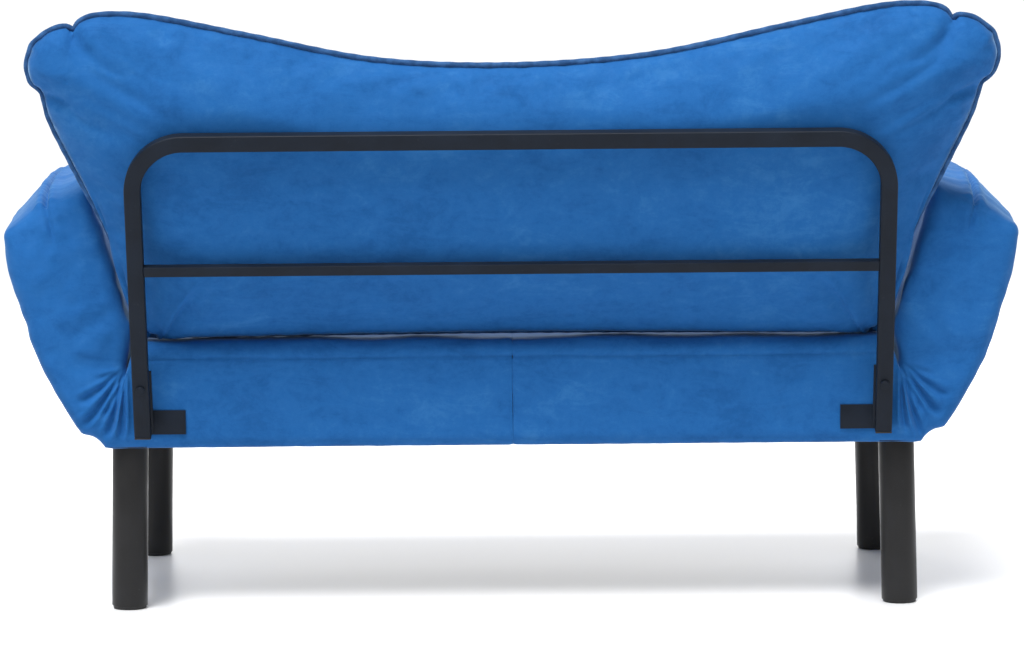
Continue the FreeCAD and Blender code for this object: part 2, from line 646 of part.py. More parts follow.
def hoop_band(body, inset, low, plane_offset):
    """An upside-down U in the XZ plane: uprights, two bends and a top bar."""
    outer_x, inner_x = f"places.back_reach - {inset}", f"places.upright_inner + {inset}"
    outer_z = f"sizes.back_height - {inset}"
    inner_z = f"sizes.back_height - sizes.back_tube_width + {inset}"
    bend_x = "places.back_reach - sizes.back_tube_width / 2 - sizes.back_bend"
    bend_z = "sizes.back_height - sizes.back_tube_width / 2 - sizes.back_bend"
    sketch = new_sketch(body, "XZ_Plane", plane_offset)
    centre = {side: V(side * value(bend_x), value(bend_z), 0) for side in (1, -1)}
    shapes = []
    for reach, height in ((outer_x, outer_z), (inner_x, inner_z)):
        x, z, radius = value(reach), value(height), value(reach) - value(bend_x)
        foot, bend = value(low), value(bend_z)
        first = sketch.GeometryCount
        sketch.addGeometry(Part.LineSegment(V(x, foot, 0), V(x, bend, 0)), False)
        sketch.addGeometry(Part.ArcOfCircle(Part.Circle(centre[1], UP, radius), 0, 1.5707963), False)
        sketch.addGeometry(Part.LineSegment(V(centre[1].x, z, 0), V(centre[-1].x, z, 0)), False)
        sketch.addGeometry(Part.ArcOfCircle(Part.Circle(centre[-1], UP, radius), 1.5707963, 3.1415927), False)
        sketch.addGeometry(Part.LineSegment(V(-x, bend, 0), V(-x, foot, 0)), False)
        shapes.append(first)
        for one, one_end, two, two_end in ((0, 2, 1, 1), (1, 2, 2, 1), (2, 2, 3, 1), (3, 2, 4, 1)):
            sketch.addConstraint(Sketcher.Constraint("Coincident", first + one, one_end, first + two, two_end))
        pin_point(sketch, first, 1, (reach, low))
        pin_point(sketch, first + 4, 2, (f"-({reach})", low))
        pin_point(sketch, first + 1, 3, (bend_x, bend_z))
        pin_point(sketch, first + 3, 3, (f"-({bend_x})", bend_z))
        pin_point(sketch, first, 2, (reach, bend_z))
        pin_point(sketch, first + 2, 1, (bend_x,))
        pin_point(sketch, first + 2, 2, (f"-({bend_x})",))
        pin_point(sketch, first + 4, 1, (f"-({reach})", bend_z))
    outer, inner = shapes
    for a, a_end, b, b_end in ((outer, 1, inner, 1), (outer + 4, 2, inner + 4, 2)):
        start = sketch.getPoint(a, a_end)
        finish = sketch.getPoint(b, b_end)
        line = sketch.addGeometry(Part.LineSegment(start, finish), False)
        sketch.addConstraint(Sketcher.Constraint("Coincident", line, 1, a, a_end))
        sketch.addConstraint(Sketcher.Constraint("Coincident", line, 2, b, b_end))
    return sketch


def make_hoop():
    hoop = new_body("back_frame_hoop")
    middle = "-sizes.back_tube_depth / 2"
    pad(hoop, hoop_band(hoop, "0", "0", middle), "sizes.back_tube_depth")
    pocket(hoop, hoop_band(hoop, "sizes.back_tube_wall", "-10", middle),
           "sizes.back_tube_depth - 2 * sizes.back_tube_wall")
    spots = [(times(side, BOLT_REACH), "sizes.bolt_height") for _, side in SIDES]
    cut_holes(hoop, "XZ_Plane", spots, "sizes.bolt_radius + sizes.running_gap")
    lean(hoop)
    keep(hoop, "back_frame_hoop")


BOLT_REACH = "(places.back_reach - sizes.back_tube_width / 2)"


def make_crossbar():
    half = "sizes.crossbar / 2"
    bar = tube("back_frame_crossbar",
               ("-places.upright_inner", f"sizes.crossbar_height - {half}"),
               ("places.upright_inner", f"sizes.crossbar_height + {half}"),
               "sizes.crossbar", "sizes.crossbar_wall", "X")
    shift = "(sizes.back_tube_depth - sizes.crossbar / 2)"
    put(bar, y=f"places.back_foot + {shift} * cos(sizes.back_lean)",
        z=f"sizes.back_foot_height - {shift} * sin(sizes.back_lean)", axis=ALONG_X,
        angle="-sizes.back_lean")
    keep(bar, "back_frame_crossbar")


def make_end_plugs():
    for name, side in SIDES:
        plug = new_body(f"{name}_end_plug")
        for offset, width, depth, height in (
                ("-sizes.plug_flange / 2", "sizes.back_tube_width", "sizes.back_tube_depth",
                 "sizes.plug_flange"),
                ("sizes.plug_depth / 2",
                 "(sizes.back_tube_width - 2 * sizes.back_tube_wall - 2 * sizes.running_gap)",
                 "(sizes.back_tube_depth - 2 * sizes.back_tube_wall - 2 * sizes.running_gap)",
                 "sizes.plug_depth")):
            sketch = new_sketch(plug, "XY_Plane", offset)
            middle = "sizes.back_tube_depth / 2"
            polygon(sketch, rectangle((f"-{width} / 2", f"{middle} - {depth} / 2"),
                                      (f"{width} / 2", f"{middle} + {depth} / 2")))
            pad(plug, sketch, height)
        lean(plug, x=times(side, BOLT_REACH))
        keep(plug, f"{name}_end_plug")


def make_brackets():
    """L plates: a leaning leg before each upright and a foot flat on the bench."""
    for name, side in SIDES:
        leg = doc.addObject("Part::Box", "bracket_leg")
        inner = "(places.upright_inner - sizes.bracket_overlap)"
        leg.setExpression("Length", f"places.back_reach - {inner}")
        leg.setExpression("Width", "sizes.bracket_thickness")
        leg.setExpression("Height", "sizes.bracket_height")
        shift = "sizes.bracket_thickness"
        put(leg, x=inner if side > 0 else "-places.back_reach",
            y=f"places.back_foot - {shift} * cos(sizes.back_lean)",
            z=f"sizes.back_foot_height + {shift} * sin(sizes.back_lean)", axis=ALONG_X,
            angle="-sizes.back_lean")
        foot = doc.addObject("Part::Box", "bracket_foot")
        foot.setExpression("Length", "sizes.bracket_foot_length")
        foot.setExpression("Width", "sizes.bracket_thickness")
        foot.setExpression("Height", "sizes.bracket_foot_height")
        put(foot, x="places.bracket_inner" if side > 0 else "-places.back_reach",
            y="places.seat_rear", z="sizes.bracket_foot_low")
        joined = doc.addObject("Part::Fuse", "bracket_blank")
        joined.Base, joined.Tool = leg, foot
        hole = doc.addObject("Part::Cylinder", "bracket_hole")
        hole.setExpression("Radius", "sizes.bolt_radius + sizes.running_gap")
        hole.setExpression("Height", "4 * sizes.bracket_thickness")
        put_across_back(hole, times(side, BOLT_REACH), "-2 * sizes.bracket_thickness")
        bracket = doc.addObject("Part::Cut", f"{name}_bracket")
        bracket.Base, bracket.Tool = joined, hole
        keep(bracket, f"{name}_bracket")


def put_across_back(cylinder, x, start):
    """Lays a cylinder through an upright at bolt height, from start rearward."""
    rise = "sizes.bolt_height"
    put(cylinder, x=x, axis=ALONG_X, angle="-90 - sizes.back_lean",
        y=f"places.back_foot + {rise} * sin(sizes.back_lean) + ({start}) * cos(sizes.back_lean)",
        z=f"sizes.back_foot_height + {rise} * cos(sizes.back_lean) - ({start}) * sin(sizes.back_lean)")


def make_back_bolts():
    bolts = []
    for _, side in SIDES:
        spans = (("sizes.bolt_radius", "-sizes.bracket_thickness - sizes.bolt_nut_height",
                  "sizes.back_tube_depth"),
                 ("sizes.bolt_head_radius", "sizes.back_tube_depth",
                  "sizes.back_tube_depth + sizes.bolt_head_height"),
                 ("sizes.bolt_head_radius", "-sizes.bracket_thickness - sizes.bolt_nut_height",
                  "-sizes.bracket_thickness"))
        pieces = []
        for radius, start, finish in spans:
            pin = doc.addObject("Part::Cylinder", "bolt_span")
            pin.setExpression("Radius", radius)
            pin.setExpression("Height", f"({finish}) - ({start})")
            put_across_back(pin, times(side, BOLT_REACH), start)
            pieces.append(pin)
        bolt = doc.addObject("Part::MultiFuse", "bolt")
        bolt.Shapes = pieces
        bolts.append(bolt)
    keep(group("back_frame_bolts", bolts), "back_frame_bolts")


def make_weld_studs():
    """Studs on the brackets' front faces, through the rear rail, with nuts inside."""
    studs = []
    for x, z in stud_spots():
        stud = doc.addObject("Part::Cylinder", "weld_stud")
        stud.setExpression("Radius", "sizes.bolt_radius")
        stud.setExpression("Height", "sizes.weld_stud_length")
        put(stud, x=x, y="places.seat_rear - sizes.weld_stud_length", z=z, axis=ALONG_X,
            angle="-90")
        nut = doc.addObject("Part::Prism", "weld_nut")
        nut.Polygon = 6
        nut.setExpression("Circumradius", "sizes.weld_nut_radius")
        nut.setExpression("Height", "sizes.weld_nut_height")
        rail_face = "places.seat_rear - sizes.rail_inset - sizes.rail_width"
        put(nut, x=x, y=f"{rail_face} - sizes.weld_nut_height", z=z, axis=ALONG_X, angle="-90")
        fixing = doc.addObject("Part::Fuse", "fixing")
        fixing.Base, fixing.Tool = stud, nut
        studs.append(fixing)
    keep(group("bracket_studs", studs), "bracket_studs")


# ---------------------------------------------------------------- back cushion

def cushion_reach(name):
    """Half width of the cushion at a named point, counted from the hinge axis."""
    sign = "-" if name.endswith("_in") else "+"
    return f"sizes.hinge_reach {sign} sizes.{name}"


def cushion_outline(inset):
    """The winged outline, drawn in from its edge all round except along the seat."""
    sides = [("foot_in", "0"), ("waist_in", "sizes.waist_height"),
             ("side_in", "sizes.side_height"), ("ear_low_out", "sizes.ear_low_height")]
    ears = [("ear_side_out", "sizes.ear_side_height"), ("ear_out", "sizes.ear_height"),
            ("ear_round_out", "sizes.ear_round_height"), ("ear_top_in", "sizes.ear_top_height")]
    crown = [("crown_start_in", "sizes.crown_start_height"),
             ("crown_fall_in", "sizes.crown_fall_height"),
             ("crown_middle_in", "sizes.crown_middle_height")]
    sides, ears, crown = ([(cushion_reach(name), z) for name, z in points]
                          for points in (sides, ears, crown))
    crown.append((f"({cushion_reach('crown_middle_in')}) / 3", "sizes.crown_height"))
    return mirrored([(f"{x} - ({inset})", z) for x, z in sides]
                    + [(f"{x} - ({inset})", f"{z} - ({inset})") for x, z in ears]
                    + [(x, f"{z} - ({inset})") for x, z in crown])


def cushion_slab(label, inset, thickness):
    """An outline extruded both ways from the cushion's seam, cut level on the seat."""
    outline = doc.addObject("Sketcher::SketchObject", f"{label}_outline")
    polygon(outline, cushion_outline(inset))
    slab = doc.addObject("Part::Extrusion", f"{label}_blank")
    slab.Base = outline
    slab.DirMode = "Custom"
    slab.Dir = UP
    slab.Solid = True
    slab.Symmetric = True
    slab.setExpression("LengthFwd", thickness)
    seam = "(-sizes.cushion_gap - sizes.cushion_thickness / 2)"
    put(slab, y=f"places.back_foot + {seam} * cos(sizes.back_lean)",
        z=f"sizes.back_foot_height - {seam} * sin(sizes.back_lean)", axis=ALONG_X,
        angle="90 - sizes.back_lean")
    return slab


def cushion_solid(label, shrink):
    """A pillow in two steps: a thin winged slab and a thick one drawn in from its edge."""
    wide = cushion_slab(f"{label}_wide", shrink, f"sizes.cushion_edge - 2 * {shrink}")
    deep = cushion_slab(f"{label}_deep", f"sizes.cushion_round + {shrink}",
                        f"sizes.cushion_thickness - 2 * {shrink}")
    both = doc.addObject("Part::Fuse", f"{label}_both")
    both.Base, both.Tool = wide, deep
    return level_on_seat(label, both, shrink)


def level_on_seat(label, blank, shrink="0"):
    under = doc.addObject("Part::Box", f"{label}_under")
    under.setExpression("Length", "4 * sizes.hinge_reach")
    under.setExpression("Width", "2 * sizes.seat_depth")
    under.setExpression("Height", f"sizes.seat_top + sizes.foam_gap + {shrink}")
    put(under, x="-2 * sizes.hinge_reach", y="places.seat_front")
    trimmed = doc.addObject("Part::Cut", f"{label}_trimmed")
    trimmed.Base, trimmed.Tool = blank, under
    return trimmed


def make_cushion():
    core = cushion_solid("core", "sizes.panel")
    keep(core, "back_cushion_core")
    outside = cushion_solid("outside", "0")
    cover = doc.addObject("Part::Cut", "back_cushion_cover")
    cover.Base, cover.Tool = outside, core
    keep(cover, "back_cushion_cover")
    ring = level_on_seat("ring", cushion_slab("ring", "-sizes.piping_radius",
                                              "2 * sizes.piping_radius"))
    piping = doc.addObject("Part::Cut", "back_cushion_piping")
    piping.Base, piping.Tool = ring, outside
    keep(piping, "back_cushion_piping")


# ---------------------------------------------------------------- build and write

def check_document():
    doc.recompute()
    for thing in doc.Objects:
        if "Invalid" in thing.State or "Error" in thing.State:
            users = [user.Label for user in thing.InListRecursive]
            raise RuntimeError(f"{thing.Label} of {users} did not build: {thing.State}")
    for label, thing in nodes.items():
        if thing.Shape.isNull() or not thing.Shape.isValid() or thing.Shape.Volume <= 0:
            raise RuntimeError(f"{label} has no valid shape")


def write_parts():
    os.makedirs("parts", exist_ok=True)
    for label, thing in nodes.items():
        thing.Shape.exportStep(f"parts/{label}.step")


make_bench_frame()
make_webbing()
make_seat_foam()
make_seat_cover()
make_dust_cover()
make_legs()
make_hinges()
for arm_name, arm_side in SIDES:
    make_arm_tubes(arm_name, arm_side)
    make_arm_foam(arm_name, arm_side)
    make_arm_cover(arm_name, arm_side)
make_hoop()
make_crossbar()
make_end_plugs()
make_brackets()
make_back_bolts()
make_weld_studs()
make_cushion()
check_document()
write_parts()
print(len(nodes), "pieces written")
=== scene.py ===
"""The looks of a two-seat futon sofa bed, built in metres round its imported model."""
import json
import math

import bmesh
import bpy
import numpy as np
from bpy.props import FloatProperty, FloatVectorProperty, PointerProperty
from mathutils import Matrix, Vector


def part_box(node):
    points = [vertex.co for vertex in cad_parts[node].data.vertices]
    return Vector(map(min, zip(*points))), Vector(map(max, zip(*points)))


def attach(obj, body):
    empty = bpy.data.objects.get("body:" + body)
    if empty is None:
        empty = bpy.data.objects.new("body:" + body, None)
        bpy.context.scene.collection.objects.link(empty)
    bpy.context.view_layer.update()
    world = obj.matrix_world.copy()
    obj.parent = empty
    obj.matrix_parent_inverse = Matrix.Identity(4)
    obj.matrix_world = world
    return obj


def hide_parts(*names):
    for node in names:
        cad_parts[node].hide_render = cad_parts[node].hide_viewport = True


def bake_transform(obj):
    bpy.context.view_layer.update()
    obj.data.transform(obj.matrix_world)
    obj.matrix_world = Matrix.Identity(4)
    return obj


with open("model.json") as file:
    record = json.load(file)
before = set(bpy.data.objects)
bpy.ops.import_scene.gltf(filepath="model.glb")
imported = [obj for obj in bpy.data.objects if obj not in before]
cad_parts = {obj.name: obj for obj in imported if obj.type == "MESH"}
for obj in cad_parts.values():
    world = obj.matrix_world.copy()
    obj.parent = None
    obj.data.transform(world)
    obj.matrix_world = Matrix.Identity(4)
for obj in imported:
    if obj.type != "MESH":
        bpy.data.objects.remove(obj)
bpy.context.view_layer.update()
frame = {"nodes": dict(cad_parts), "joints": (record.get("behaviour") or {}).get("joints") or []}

bl_info = {
    "name": "Futon sofa bed",
    "version": (1, 0, 0),
    "blender": (4, 5, 0),
    "location": "3D View > Sidebar > Futon",
    "description": "Velvet bench, folding arms, winged cushion, back frame and legs",
    "category": "Object",
}

MM = 0.001
SIDES = {"left": 1, "right": -1}
SEAT_LOW, SEAT_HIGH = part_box("seat_cover")
HOOP_LOW, HOOP_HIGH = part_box("back_frame_hoop")
FOLD = next(joint for joint in frame["joints"] if joint["name"] == "left_arm_fold")
HINGE = np.array([FOLD["pos_m"][0], FOLD["pos_m"][2]])
FOLD_ANGLE = math.radians(FOLD["range_deg"][1])
REAR, FRONT = SEAT_HIGH.y, SEAT_LOW.y
SEAT_TOP, UNDERSIDE = SEAT_HIGH.z, SEAT_LOW.z
LEAN = math.radians(15.5)
BACK_FOOT = np.array([HOOP_LOW.y, 0.278])      # y and z of the hoop's front face at its foot
TUBE_WIDTH, TUBE_DEPTH = 0.025, 0.020
LEG_REACH, LEG_RADIUS = 0.588, 0.0275
CLOTH_SIZE = 1.040, 0.470
HOOP_TOP = 0.486                               # up the lean from the hoop's foot
CREASE = np.array([0.588, 0.374])              # root of the crease between seat and arm
LONG_POINTS, TALL_POINTS = 76, 58              # quads along a bench ring's long and short sides
TIP_TURN = 0.012                               # roundness of the arm's tip
TIP_SEAM, PUCKER_PITCH = 0.026, 0.0026         # the tip's seam, up from the hinge's line


# ------------------------------------------------------------------ settings

class FutonFabric(bpy.types.PropertyGroup):
    velvet: FloatVectorProperty(name="Velvet", description="Colour of the nap seen straight on",
                                subtype="COLOR", size=3, min=0, max=1, default=(0.012, 0.112, 0.345))
    velvet_deep: FloatVectorProperty(name="Brushed dark", description="Nap brushed away from the eye",
                                     subtype="COLOR", size=3, min=0, max=1,
                                     default=(0.007, 0.085, 0.275))
    velvet_pale: FloatVectorProperty(name="Brushed pale", description="Nap brushed towards the light",
                                     subtype="COLOR", size=3, min=0, max=1,
                                     default=(0.034, 0.172, 0.430))
    piping: FloatVectorProperty(name="Piping", description="Colour of the corded edge",
                                subtype="COLOR", size=3, min=0, max=1, default=(0.016, 0.060, 0.165))
    edge_radius: FloatProperty(name="Bench edge", description="Roundness of the bench's long edges",
                               unit="LENGTH", default=0.022, min=0.005, max=0.04)
    seam_drop: FloatProperty(name="Seam below top", description="The long seam under the seat's edge",
                             unit="LENGTH", default=0.026, min=0.01, max=0.06)
    piping_radius: FloatProperty(name="Piping radius", description="Half the corded edge's width",
                                 unit="LENGTH", default=0.0042, min=0.001, max=0.01)
    cushion_depth: FloatProperty(name="Cushion depth", description="Thickness of the back cushion",
                                 unit="LENGTH", default=0.150, min=0.08, max=0.2)


class FutonMetal(bpy.types.PropertyGroup):
    paint: FloatVectorProperty(name="Frame paint", description="Charcoal coat of the back frame",
                               subtype="COLOR", size=3, min=0, max=1, default=(0.0070, 0.0105, 0.0175))
    leg_paint: FloatVectorProperty(name="Leg paint", description="Satin black of the legs",
                                   subtype="COLOR", size=3, min=0, max=1, default=(0.0105, 0.0105, 0.011))
    bend_radius: FloatProperty(name="Hoop bend", description="Radius of the hoop's upper bends",
                               unit="LENGTH", default=0.090, min=0.04, max=0.2)
    edge: FloatProperty(name="Tube edge", description="Rounding along the square tube's edges",
                        unit="LENGTH", default=0.0025, min=0.0005, max=0.006)


class FutonStage(bpy.types.PropertyGroup):
    floor: FloatVectorProperty(name="Floor", description="Colour of the studio floor",
                               subtype="COLOR", size=3, min=0, max=1, default=(0.80, 0.80, 0.805))
    eye: FloatVectorProperty(name="Camera place", description="Where the camera stands",
                             subtype="TRANSLATION", size=3, default=(-0.013, 6.855, 1.220))
    horizon: FloatProperty(name="Horizon light", description="Brightness of the sky at the horizon",
                           default=0.26, min=0, max=5)
    zenith: FloatProperty(name="Zenith light", description="Brightness of the sky overhead",
                          default=0.60, min=0, max=5)
    sun: FloatProperty(name="Key light", description="Strength of the soft light from behind the camera",
                       default=4.5, min=0, max=20)
    under: FloatProperty(name="Low light", description="Power of the lamp in front of the bench",
                         default=85, min=0, max=500)
    lens: FloatProperty(name="Lens", description="Focal length in millimetres",
                        default=154.5, min=20, max=300)


# ------------------------------------------------------------------ shader maths

class Field:
    """A shader value that Python's own operators work on."""

    def __init__(self, paint, socket):
        self.paint = paint
        self.socket = socket

    def maths(self, operation, *values):
        return self.paint.node("ShaderNodeMath", {"operation": operation},
                               dict(enumerate(values)))

    def __add__(self, other):
        return self.maths("ADD", self, other)

    def __mul__(self, other):
        return self.maths("MULTIPLY", self, other)

    __radd__ = __add__
    __rmul__ = __mul__


class Paint:
    """One procedural material on a Principled shader."""

    def __init__(self, name, **constants):
        self.material = bpy.data.materials.new(name)
        self.material.use_nodes = True
        self.nodes = self.material.node_tree.nodes
        self.links = self.material.node_tree.links
        self.shader = self.nodes["Principled BSDF"]
        self.place = self.node("ShaderNodeTexCoord", out="Object")
        for socket, value in constants.items():
            self.shader.inputs[socket.replace("_", " ")].default_value = value

    def node(self, kind, settings=None, values=None, out=0):
        """Adds a node; its settings come first, then what its sockets are given."""
        made = self.nodes.new(kind)
        for name, setting in (settings or {}).items():
            setattr(made, name, setting)
        for socket, value in (values or {}).items():
            self.feed(made.inputs[socket], value)
        return Field(self, made.outputs[out])

    def feed(self, socket, value):
        if isinstance(value, Field):
            self.links.new(value.socket, socket)
        else:
            socket.default_value = value

    def stretched(self, scale):
        return self.node("ShaderNodeMapping", {}, {"Vector": self.place, "Scale": scale})

    def noise(self, scale, detail=3.0, rough=0.55, place=None, warp=0.0):
        return self.node("ShaderNodeTexNoise", {},
                         {"Vector": place or self.place, "Scale": scale, "Detail": detail,
                          "Roughness": rough, "Distortion": warp})

    def between(self, value, low, high, to_low=0.0, to_high=1.0):
        return self.node("ShaderNodeMapRange", {"interpolation_type": "SMOOTHSTEP"},
                         {"Value": value, "From Min": low, "From Max": high,
                          "To Min": to_low, "To Max": to_high})

    def mix(self, share, first, second):
        """Blends two colours: the first where share is 0."""
        sockets = {0: share, 6: first, 7: second}
        sockets = {key: (*value, 1.0) if isinstance(value, (tuple, list)) else value
                   for key, value in sockets.items()}
        return self.node("ShaderNodeMix", {"data_type": "RGBA"}, sockets, out=2)

    def bump(self, height, distance, strength=1.0, under=None):
        values = {"Height": height, "Distance": distance, "Strength": strength}
        if under is not None:
            values["Normal"] = under
        return self.node("ShaderNodeBump", {}, values)

    def finish(self, **inputs):
        for socket, value in inputs.items():
            self.feed(self.shader.inputs[socket.replace("_", " ")], value)
        return self.material


def paint_velvet():
    """Short-napped velvet: brushed patches, fine pile and a pale sheen."""
    fabric = bpy.context.scene.futon_fabric
    velvet = Paint("blue_velvet", Sheen_Weight=0.34, Sheen_Roughness=0.30,
                   Specular_IOR_Level=0.18, Roughness=0.85)
    velvet.shader.inputs["Sheen Tint"].default_value = (0.50, 0.76, 1.0, 1.0)
    clouds = velvet.noise(5.5, 4, 0.62, warp=0.6)
    strokes = velvet.noise(30, 5, 0.72, place=velvet.stretched((0.45, 1.0, 1.0)), warp=0.9)
    flecks = velvet.noise(70, 4, 0.75)
    pile = velvet.noise(1400, 2, 0.6)
    brushed = velvet.between(clouds * 0.42 + strokes * 0.38 + flecks * 0.2, 0.30, 0.72)
    deep = velvet.mix(velvet.between(brushed, 0.0, 0.55), tuple(fabric.velvet_deep), tuple(fabric.velvet))
    nap = velvet.mix(velvet.between(brushed, 0.5, 1.0, 0.0, 0.55), deep, tuple(fabric.velvet_pale))
    shade = velvet.mix(velvet.between(pile, 0.3, 0.7, 0.16, 0.0), nap, (0.004, 0.03, 0.14))
    soft = velvet.bump(strokes * 0.6 + flecks * 0.4, 0.0009, 0.5)
    fine = velvet.bump(pile, 0.0002, 0.35, soft)
    return velvet.finish(Base_Color=shade, Normal=fine, Roughness=velvet.between(flecks, 0.3, 0.7, 0.9, 0.78))


def paint_piping():
    """The same velvet cut on the bias over a cord: darker, with a fine pile."""
    fabric = bpy.context.scene.futon_fabric
    cord = Paint("navy_piping", Sheen_Weight=0.3, Sheen_Roughness=0.4, Specular_IOR_Level=0.15)
    cord.shader.inputs["Sheen Tint"].default_value = (0.6, 0.75, 1.0, 1.0)
    wear = cord.noise(60, 4, 0.6)
    pile = cord.noise(1200, 2, 0.5)
    colour = cord.mix(cord.between(wear, 0.35, 0.7), tuple(fabric.piping), (0.035, 0.11, 0.27))
    return cord.finish(Base_Color=colour, Roughness=cord.between(wear, 0.3, 0.7, 0.9, 0.75),
                       Normal=cord.bump(pile, 0.0003, 0.5))


def paint_powder(name, colour, rough, grain, lift, gloss=0.28):
    """Powder coat: a fine orange-peel skin with slight unevenness and rubbed spots."""
    coat = Paint(name, Metallic=0.0, Specular_IOR_Level=gloss)
    peel = coat.noise(grain, 3, 0.6)
    patches = coat.noise(14, 4, 0.6)
    dust = coat.noise(160, 5, 0.7)
    tone = coat.mix(coat.between(patches, 0.3, 0.75), tuple(colour), tuple(c * lift for c in colour))
    dusty = coat.mix(coat.between(dust, 0.62, 0.8, 0.0, 0.25), tone, (0.10, 0.105, 0.11))
    return coat.finish(Base_Color=dusty, Roughness=coat.between(patches, 0.3, 0.7, rough, rough + 0.14),
                       Normal=coat.bump(peel, 0.0004, 0.35))


def paint_steel(name, colour, rough, stretch):
    """Plated steel with fine draw marks and dull spots."""
    plate = Paint(name, Metallic=1.0)
    marks = plate.noise(260, 3, 0.6, place=plate.stretched(stretch))
    spots = plate.noise(35, 4, 0.6)
    tone = plate.mix(plate.between(spots, 0.35, 0.7), tuple(colour), tuple(c * 0.72 for c in colour))
    return plate.finish(Base_Color=tone, Roughness=plate.between(marks, 0.3, 0.7, rough, rough + 0.2),
                        Normal=plate.bump(marks, 0.0002, 0.3))


def paint_plastic():
    plastic = Paint("black_plastic", Specular_IOR_Level=0.4)
    grain = plastic.noise(900, 3, 0.6)
    scuffs = plastic.noise(45, 4, 0.65)
    tone = plastic.mix(plastic.between(scuffs, 0.5, 0.8), (0.011, 0.011, 0.012), (0.035, 0.035, 0.037))
    return plastic.finish(Base_Color=tone, Roughness=plastic.between(scuffs, 0.3, 0.7, 0.42, 0.62),
                          Normal=plastic.bump(grain, 0.0002, 0.5))


def paint_foam():
    foam = Paint("foam", Specular_IOR_Level=0.1, Roughness=0.95)
    cells = foam.node("ShaderNodeTexVoronoi", {}, {"Vector": foam.place, "Scale": 420.0})
    stains = foam.noise(9, 3, 0.6)
    tone = foam.mix(foam.between(stains, 0.35, 0.7), (0.72, 0.66, 0.45), (0.60, 0.53, 0.33))
    return foam.finish(Base_Color=tone, Normal=foam.bump(cells, 0.0008, 0.6))


def paint_cloth(name, colour, pitch, rough=0.9):
    """A plain woven or bonded cloth: crossed threads from two waves and lint."""
    cloth = Paint(name, Specular_IOR_Level=0.15, Sheen_Weight=0.15)
    across, along = (cloth.node("ShaderNodeTexWave", {"bands_direction": direction},
                                {"Vector": cloth.place, "Scale": pitch, "Distortion": 0.4}, out="Fac")
                     for direction in ("X", "Y"))
    lint = cloth.noise(120, 4, 0.7)
    weave = across * along
    tone = cloth.mix(weave, tuple(c * 0.6 for c in colour), tuple(colour))
    fluff = tuple(min(1, c * 2 + 0.03) for c in colour)
    worn = cloth.mix(cloth.between(lint, 0.55, 0.8, 0.0, 0.4), tone, fluff)
    return cloth.finish(Base_Color=worn, Roughness=cloth.between(lint, 0.3, 0.7, rough, rough - 0.12),
                        Normal=cloth.bump(weave, 0.0004, 0.6))


PAINTS = {}


class OBJECT_OT_futon_paints(bpy.types.Operator):
    """Mixes the finishes and gives each carried-over CAD node its own"""
    bl_idname = "object.futon_paints"
    bl_label = "Finishes"

    def execute(self, context):
        metal = context.scene.futon_metal
        PAINTS.update(
            blue_velvet=paint_velvet(),
            navy_piping=paint_piping(),
            charcoal_paint=paint_powder("charcoal_paint", metal.paint, 0.42, 700, 1.5, 0.13),
            leg_black=paint_powder("leg_black", metal.leg_paint, 0.30, 500, 1.4),
            frame_paint=paint_powder("frame_paint", (0.016, 0.016, 0.018), 0.55, 600, 1.6),
            zinc_steel=paint_steel("zinc_steel", (0.62, 0.63, 0.64), 0.32, (1, 8, 1)),
            steel=paint_steel("steel", (0.20, 0.205, 0.215), 0.38, (1, 1, 6)),
            black_plastic=paint_plastic(),
            foam=paint_foam(),
            lining=paint_cloth("lining", (0.016, 0.016, 0.018), 520),
            webbing=paint_cloth("webbing", (0.06, 0.045, 0.035), 300),
        )
        slots = {
            "foam": ("foam",), "blue_velvet": ("cover",), "navy_piping": ("piping",),
            "webbing": ("webbing",), "lining": ("dust_cover",), "frame_paint": ("rail", "arm_", "leaf"),
            "zinc_steel": ("pawl",), "leg_black": ("_leg", "leg_plates"),
            "steel": ("rivets", "pins", "studs"), "black_plastic": ("foot", "plug"),
            "charcoal_paint": ("hoop", "crossbar", "bracket", "bolts"),
        }
        order = ("steel", "zinc_steel", "black_plastic", "leg_black", "charcoal_paint", "navy_piping",
                 "webbing", "lining", "foam", "blue_velvet", "frame_paint")
        for name, node in frame["nodes"].items():
            kind = next((slot for slot in order if any(word in name for word in slots[slot])), "foam")
            node.data.materials.clear()
            node.data.materials.append(PAINTS[kind])
        return {"FINISHED"}


# ------------------------------------------------------------------ small helpers

def clear_selection():
    if bpy.context.object and bpy.context.object.mode != "OBJECT":
        bpy.ops.object.mode_set(mode="OBJECT")
    bpy.ops.object.select_all(action="DESELECT")


def choose(piece):
    """Selects one piece alone and makes it the active one."""
    clear_selection()
    bpy.context.view_layer.objects.active = piece
    piece.select_set(True)


def finish_piece(piece, name, slot, body, *nodes):
    """Names a piece, gives it its finish and says which body and CAD nodes it stands with."""
    piece.name = name
    piece.data.name = name
    piece.data.materials.clear()
    piece.data.materials.append(PAINTS[slot])
    if body:
        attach(piece, body)
    if nodes:
        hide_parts(*nodes)
    clear_selection()
    return piece


def settle_transform(piece):
    choose(piece)
    bpy.ops.object.transform_apply(location=True, rotation=True, scale=True)


def apply_modifier(piece, kind, **settings):
    choose(piece)
    modifier = piece.modifiers.new(kind.title(), kind)
    for name, value in settings.items():
        setattr(modifier, name, value)
    bpy.ops.object.modifier_apply(modifier=modifier.name)


def smooth(piece, degrees=35):
    choose(piece)
    bpy.ops.object.shade_smooth_by_angle(angle=math.radians(degrees))


def edit(piece):
    """Opens a piece for editing with nothing selected and returns its bmesh."""
    choose(piece)
    bpy.ops.object.mode_set(mode="EDIT")
    bpy.ops.mesh.select_all(action="DESELECT")
    return bmesh.from_edit_mesh(piece.data)


def pick(piece, kind, test):
    """Selects the faces or edges that pass a test, in edit mode."""
    bm = bmesh.from_edit_mesh(piece.data)
    for item in getattr(bm, kind):
        item.select_set(bool(test(item)))
    bm.select_flush_mode()
    bmesh.update_edit_mesh(piece.data)


